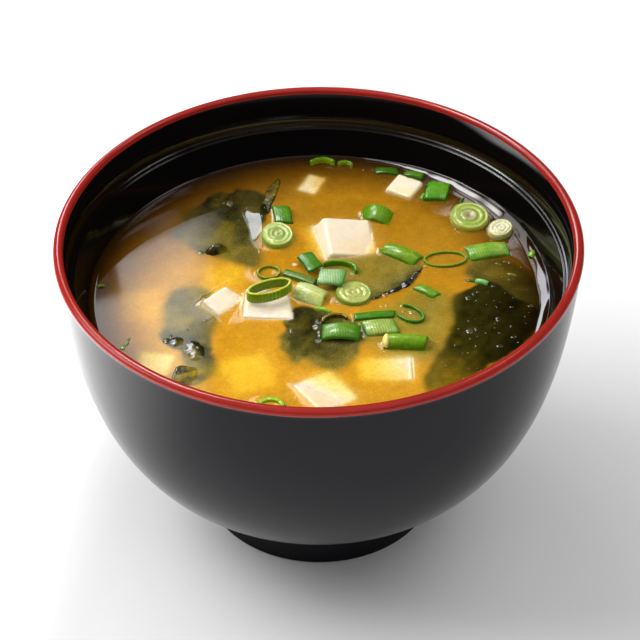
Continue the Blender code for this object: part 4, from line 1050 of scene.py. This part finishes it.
# ---------------------------------------------------------------- beads of broth and small bubbles on the surface
# x, y, width of the base, roundness (radius of the cap) in millimetres
BEADS = [
    (33.1, -2.7, 1.5, 2.0), (34.3, -1.3, 0.9, 1.2), (35.4, -0.6, 0.8, 1.0), (39.3, -10.0, 1.5, 1.9), (32.9, -14.1, 1.8, 2.4), (34.3, -13.4, 1.0, 1.3), (42.4, -16.2, 1.2, 1.4),
    (39.2, -19.2, 1.4, 1.7), (42.6, -5.9, 0.9, 1.0), (38.9, 1.5, 0.9, 1.0), (42.0, -12.5, 0.8, 0.9), (39.4, -14.8, 0.8, 0.9), (46.8, -5.6, 1.2, 1.5), (34.0, -19.1, 0.8, 0.9),
    (29.5, -18.8, 0.7, 0.8), (49.1, 1.4, 0.7, 0.8), (-33.1, -16.8, 2.0, 2.6), (-32.3, -15.2, 1.0, 1.2), (-28.0, -18.5, 1.2, 1.3), (-26.6, 14.2, 1.6, 2.0), (-12.4, 30.6, 1.0, 1.1),
    (-12.9, 27.2, 1.0, 1.1), (20.0, 3.0, 1.9, 2.2), (21.2, 4.4, 1.1, 1.2), (14.6, -1.7, 1.5, 1.6), (13.9, -5.4, 1.1, 1.2), (15.0, -5.3, 1.0, 1.0), (20.9, -7.6, 2.2, 3.4),
    (18.6, -5.5, 1.2, 1.4), (18.6, -7.4, 0.9, 1.0), (-6.0, -13.6, 1.7, 1.7), (0.0, -12.3, 3.0, 3.6), (0.3, -14.5, 2.2, 2.8), (-4.6, 9.8, 2.6, 3.3), (-25.0, -9.9, 1.0, 1.0),
    (-28.8, -13.1, 0.8, 0.9), (10.4, 28.0, 1.0, 1.0), (12.0, 27.0, 0.9, 1.0), (38.8, 36.8, 1.0, 1.2), (39.9, 11.9, 1.1, 1.2), (42.1, 10.2, 0.9, 0.9), (43.0, 9.9, 0.9, 0.9),
    (48.4, 13.4, 1.2, 1.3), (4.4, 22.6, 0.8, 0.9), (-5.2, -0.4, 0.9, 1.0), (31.0, 24.4, 1.2, 1.3), (31.6, 22.2, 0.9, 1.0), (4.3, -3.8, 1.4, 1.6), (3.5, -2.2, 0.8, 0.9), (24.2, 8.6, 1.2, 1.5),
    (-13.4, 14.8, 1.2, 1.4), (-47.9, 24.6, 0.8, 0.9), (25.5, 45.0, 1.0, 1.2), (10.8, 45.6, 1.0, 1.0),
]
rng = np.random.default_rng(7)
SPECKS_FROM = len(BEADS)
for cx0, cy0, rx, ry, many in ((38.5, -10.0, 8.5, 10.0, 26), (31.0, -26.0, 5.0, 5.0, 8), (-27.5, -20.0, 3.0, 4.5, 6), (-20.0, 28.0, 5.0, 6.0, 8), (1.0, -17.0, 3.5, 3.0, 4),
                               (44.0, 6.0, 5.0, 7.0, 12)):
    for _ in range(many):
        ang_, rad_ = rng.uniform(0, 2 * math.pi), math.sqrt(rng.uniform(0, 1))
        w_ = rng.uniform(0.22, 0.50) * (1.25 if rng.uniform() > 0.85 else 1.0)
        BEADS.append((cx0 + rx * rad_ * math.cos(ang_), cy0 + ry * rad_ * math.sin(ang_), w_, w_ * rng.uniform(0.55, 1.0)))


def make_beads():
    n = 301
    G = broth_tint.reshape(n, n, 3)
    Z = broth_z.reshape(n, n)
    PX = broth_xy.reshape(n, n, 2)
    flat = PX.reshape(-1, 2)
    V, F, T = [], [], []
    rng_b = np.random.default_rng(9)
    base_i = 0
    for number, (x, y, w_, round_) in enumerate(BEADS):
        if math.hypot(x, y) > WET_R - 1.0:
            continue
        k = int(np.argmin((flat[:, 0] - x) ** 2 + (flat[:, 1] - y) ** 2))
        z0, col = Z.reshape(-1)[k], G.reshape(-1, 3)[k]
        a_ = w_ / 2
        R = max(round_ * 0.95, a_ * 1.12)
        h0 = math.sqrt(max(R * R - a_ * a_, 0))
        nr, nt = (7, 20) if w_ > 0.9 else (5, 12)
        rr = a_ * np.sin(np.linspace(0.16, math.pi / 2, nr))
        tt = 2 * math.pi * np.arange(nt) / nt
        stretch = 1.0 + 0.25 * math.sin(x * 3.1 + y)
        RR, TT = np.meshgrid(rr, tt, indexing="ij")
        X_, Y_ = RR * np.cos(TT) * stretch, RR * np.sin(TT) / stretch
        Z_ = np.sqrt(np.maximum(R * R - RR**2, 0)) - h0 - 0.02
        pts = np.stack([X_ + x, Y_ + y, Z_ + z0], -1).reshape(-1, 3)
        top_, low_ = [[x, y, R - h0 - 0.02 + z0]], [[x, y, z0 - 0.12]]
        V.append(np.concatenate([pts, top_, low_]))
        F += [tuple(f) for f in grid_faces(nr, nt, wrap_m=True, base=base_i)]
        c0 = base_i + nr * nt
        for j in range(nt):
            F.append((c0, base_i + j, base_i + (j + 1) % nt))
            F.append((c0 + 1, base_i + (nr - 1) * nt + (j + 1) % nt, base_i + (nr - 1) * nt + j))
        pale = 0.03 if number < SPECKS_FROM else rng_b.uniform(0.05, 0.35)
        T.append(np.tile(col * (1 - pale) + np.array([0.5, 0.45, 0.3]) * pale, (nr * nt + 2, 1)))
        base_i += nr * nt + 2
    return build("broth_beads", np.concatenate(V), F, BROTH, tint=np.concatenate(T))


beads = ride(make_beads(), [])

# ---------------------------------------------------------------- stage: floor, lights, camera
floor_me = bpy.data.meshes.new("floor")
S = 6.0
floor_me.from_pydata([(-S, -S, 0), (S, -S, 0), (S, S, 0), (-S, S, 0)], [], [(0, 1, 2, 3)])
floor = bpy.data.objects.new("floor", floor_me)
scene.collection.objects.link(floor)
fm, fnt, fb = new_mat("pale_floor", rough=0.9)
fb.inputs["Base Color"].default_value = (0.90, 0.90, 0.90, 1)
fb.inputs["Specular IOR Level"].default_value = 0.0
ftc = node(fnt, "ShaderNodeTexCoord")
# painted light: the floor glows on its lit side, towards the left and a little back, and far away, like a white sweep
painted_light_side = node(fnt, "ShaderNodeVectorMath", operation="DOT_PRODUCT")
painted_light_side.inputs[1].default_value = (-0.97, 0.24, 0.0)
fnt.links.new(ftc.outputs["Object"], painted_light_side.inputs[0])
fdist = node(fnt, "ShaderNodeVectorMath", operation="LENGTH")
fnt.links.new(ftc.outputs["Object"], fdist.inputs[0])
fmax = node(fnt, "ShaderNodeMath", operation="MAXIMUM")
for sock, (src, top_, fr, to) in enumerate(((painted_light_side.outputs["Value"], 1.8, 0.040, 0.12), (fdist.outputs["Value"], 0.95, 0.35, 1.1))):
    mr = node(fnt, "ShaderNodeMapRange", interpolation_type="SMOOTHSTEP")
    mr.inputs["From Min"].default_value = fr
    mr.inputs["From Max"].default_value = to
    mr.inputs["To Min"].default_value = 0.0
    mr.inputs["To Max"].default_value = top_
    fnt.links.new(src, mr.inputs["Value"])
    fnt.links.new(mr.outputs["Result"], fmax.inputs[sock])
fnt.links.new(fmax.outputs[0], fb.inputs["Emission Strength"])
fb.inputs["Emission Color"].default_value = (1, 1, 1, 1)
floor_me.materials.append(fm)

world = bpy.data.worlds.new("studio")
world.use_nodes = True
wt = world.node_tree
bg = wt.nodes["Background"]
geo = wt.nodes.new("ShaderNodeTexCoord")
sep = wt.nodes.new("ShaderNodeSeparateXYZ")
wt.links.new(geo.outputs["Generated"], sep.inputs[0])
front = wt.nodes.new("ShaderNodeMapRange")            # the room is dim, with a pale ceiling
front.interpolation_type = "SMOOTHSTEP"
front.inputs["From Min"].default_value = 0.74
front.inputs["From Max"].default_value = 0.92
front.inputs["To Min"].default_value = 0.012
front.inputs["To Max"].default_value = 0.60
wt.links.new(sep.outputs["Z"], front.inputs["Value"])
lp = wt.nodes.new("ShaderNodeLightPath")
pick = wt.nodes.new("ShaderNodeMix")
pick.data_type = "FLOAT"
pick.inputs[3].default_value = 1.0
wt.links.new(lp.outputs["Is Camera Ray"], pick.inputs[0])
wt.links.new(front.outputs[0], pick.inputs[2])
wt.links.new(pick.outputs[0], bg.inputs["Strength"])
bg.inputs["Color"].default_value = (1, 1, 1, 1)
scene.world = world


def softbox(name, az, el, dist, corners, power, fade=0.0, soft=0.0, colour=(1, 1, 1), lights=True, mirrored=True):
    """A glowing panel that the camera doesn't see: corners (u, v) in metres in the plane facing the bowl.

    lights: it lights the matt surfaces. mirrored: it shows in the glossy ones.
    """
    a, e = math.radians(az), math.radians(el)
    n = Vector((math.sin(a) * math.cos(e), math.cos(a) * math.cos(e), math.sin(e)))
    u = Vector((0, 0, 1)).cross(n).normalized() * -1
    v = n.cross(u)
    if v.z < 0:
        v = -v
    me = bpy.data.meshes.new(name)
    me.from_pydata([n * dist + u * cu + v * cv for cu, cv in corners], [], [(0, 1, 2, 3)])
    uv = me.uv_layers.new(name="UVMap")
    for l, co in zip(uv.data, ((1, 0), (0, 0), (0, 1), (1, 1))):
        l.uv = co
    o = bpy.data.objects.new(name, me)
    scene.collection.objects.link(o)
    o.visible_camera = False
    o.visible_diffuse = lights
    o.visible_glossy = mirrored
    mat = bpy.data.materials.new(name)
    mat.use_nodes = True
    nt = mat.node_tree
    nt.nodes.clear()
    out = nt.nodes.new("ShaderNodeOutputMaterial")
    em = nt.nodes.new("ShaderNodeEmission")
    em.inputs["Color"].default_value = (*colour, 1)
    em.inputs["Strength"].default_value = power
    ramps = [(0, 1.0, 1.0 - fade)] if fade else []
    if soft:
        ramps += [(0, 1.0, 1.0 - soft), (0, 0.0, soft), (1, 1.0, 1.0 - soft), (1, 0.0, soft)]
    value = None
    if ramps:
        uvn = nt.nodes.new("ShaderNodeUVMap")
        parts_ = nt.nodes.new("ShaderNodeSeparateXYZ")
        nt.links.new(uvn.outputs[0], parts_.inputs[0])
    for axis, lo, hi in ramps:
        mr = nt.nodes.new("ShaderNodeMapRange")
        mr.interpolation_type = "SMOOTHSTEP"
        mr.inputs["From Min"].default_value = lo
        mr.inputs["From Max"].default_value = hi
        mr.inputs["To Min"].default_value = 0.0
        mr.inputs["To Max"].default_value = power if value is None else 1.0
        nt.links.new(parts_.outputs[axis], mr.inputs["Value"])
        value = mr.outputs[0] if value is None else times(nt, value, mr.outputs[0])
    if value is not None:
        nt.links.new(value, em.inputs["Strength"])
    nt.links.new(em.outputs[0], out.inputs[0])
    me.materials.append(mat)
    return o


def square(w, h):
    return [(w, -h), (-w, -h), (-w, h), (w, h)]


# lamps for the matt surfaces
softbox("lamp_left", -78, 45, 0.9, square(0.32, 0.30), 6.4, mirrored=False)
softbox("lamp_back_left", -34, 52, 1.0, square(0.30, 0.30), 2.6, mirrored=False)
softbox("lamp_right", 64, 58, 1.4, square(0.6, 0.42), 2.3, mirrored=False)
softbox("lamp_front", 140, 42, 1.2, square(0.4, 0.4), 1.7, mirrored=False)
# panels that show in the wet and lacquered surfaces
softbox("key_panel", -28, 52, 1.0, [(0.345, -0.196), (-0.46, -0.064), (-0.60, 0.46), (0.06, 0.40)], 5.3, fade=0.05, lights=False)
softbox("key_core", -34, 61, 0.97, square(0.19, 0.15), 30.0, soft=0.3, lights=False)
softbox("left_panel", -78, 44, 1.0, square(0.34, 0.30), 5.5, soft=0.35, lights=False)
softbox("low_panel", -21, 34, 1.0, square(0.16, 0.14), 14.0, soft=0.12, colour=(0.90, 0.92, 1.0), lights=False)
softbox("right_card", 44, 60, 1.0, square(0.16, 0.12), 5.0, soft=0.3, lights=False)

cam_data = bpy.data.cameras.new("camera")
cam_data.lens = 141.98
cam_data.sensor_width = 36.0
cam_data.clip_start = 0.01
cam = bpy.data.objects.new("camera", cam_data)
scene.collection.objects.link(cam)
fw = Vector((0.00040039, 0.76918555, -0.63902537)).normalized()
right = fw.cross(Vector((0, 0, 1))).normalized()
up = right.cross(fw)
roll = math.radians(-0.35663)
cx = right * math.cos(roll) + up * math.sin(roll)
cy = up * math.cos(roll) - right * math.sin(roll)
rot = Matrix((cx, cy, -fw)).transposed().to_4x4()
cam.matrix_world = Matrix.Translation(Vector((0.0, -0.43611, 0.41243))) @ rot
scene.camera = cam

scene.view_settings.view_transform = "Standard"
scene.view_settings.look = "None"
scene.view_settings.exposure = 0.0

bpy.context.view_layer.update()
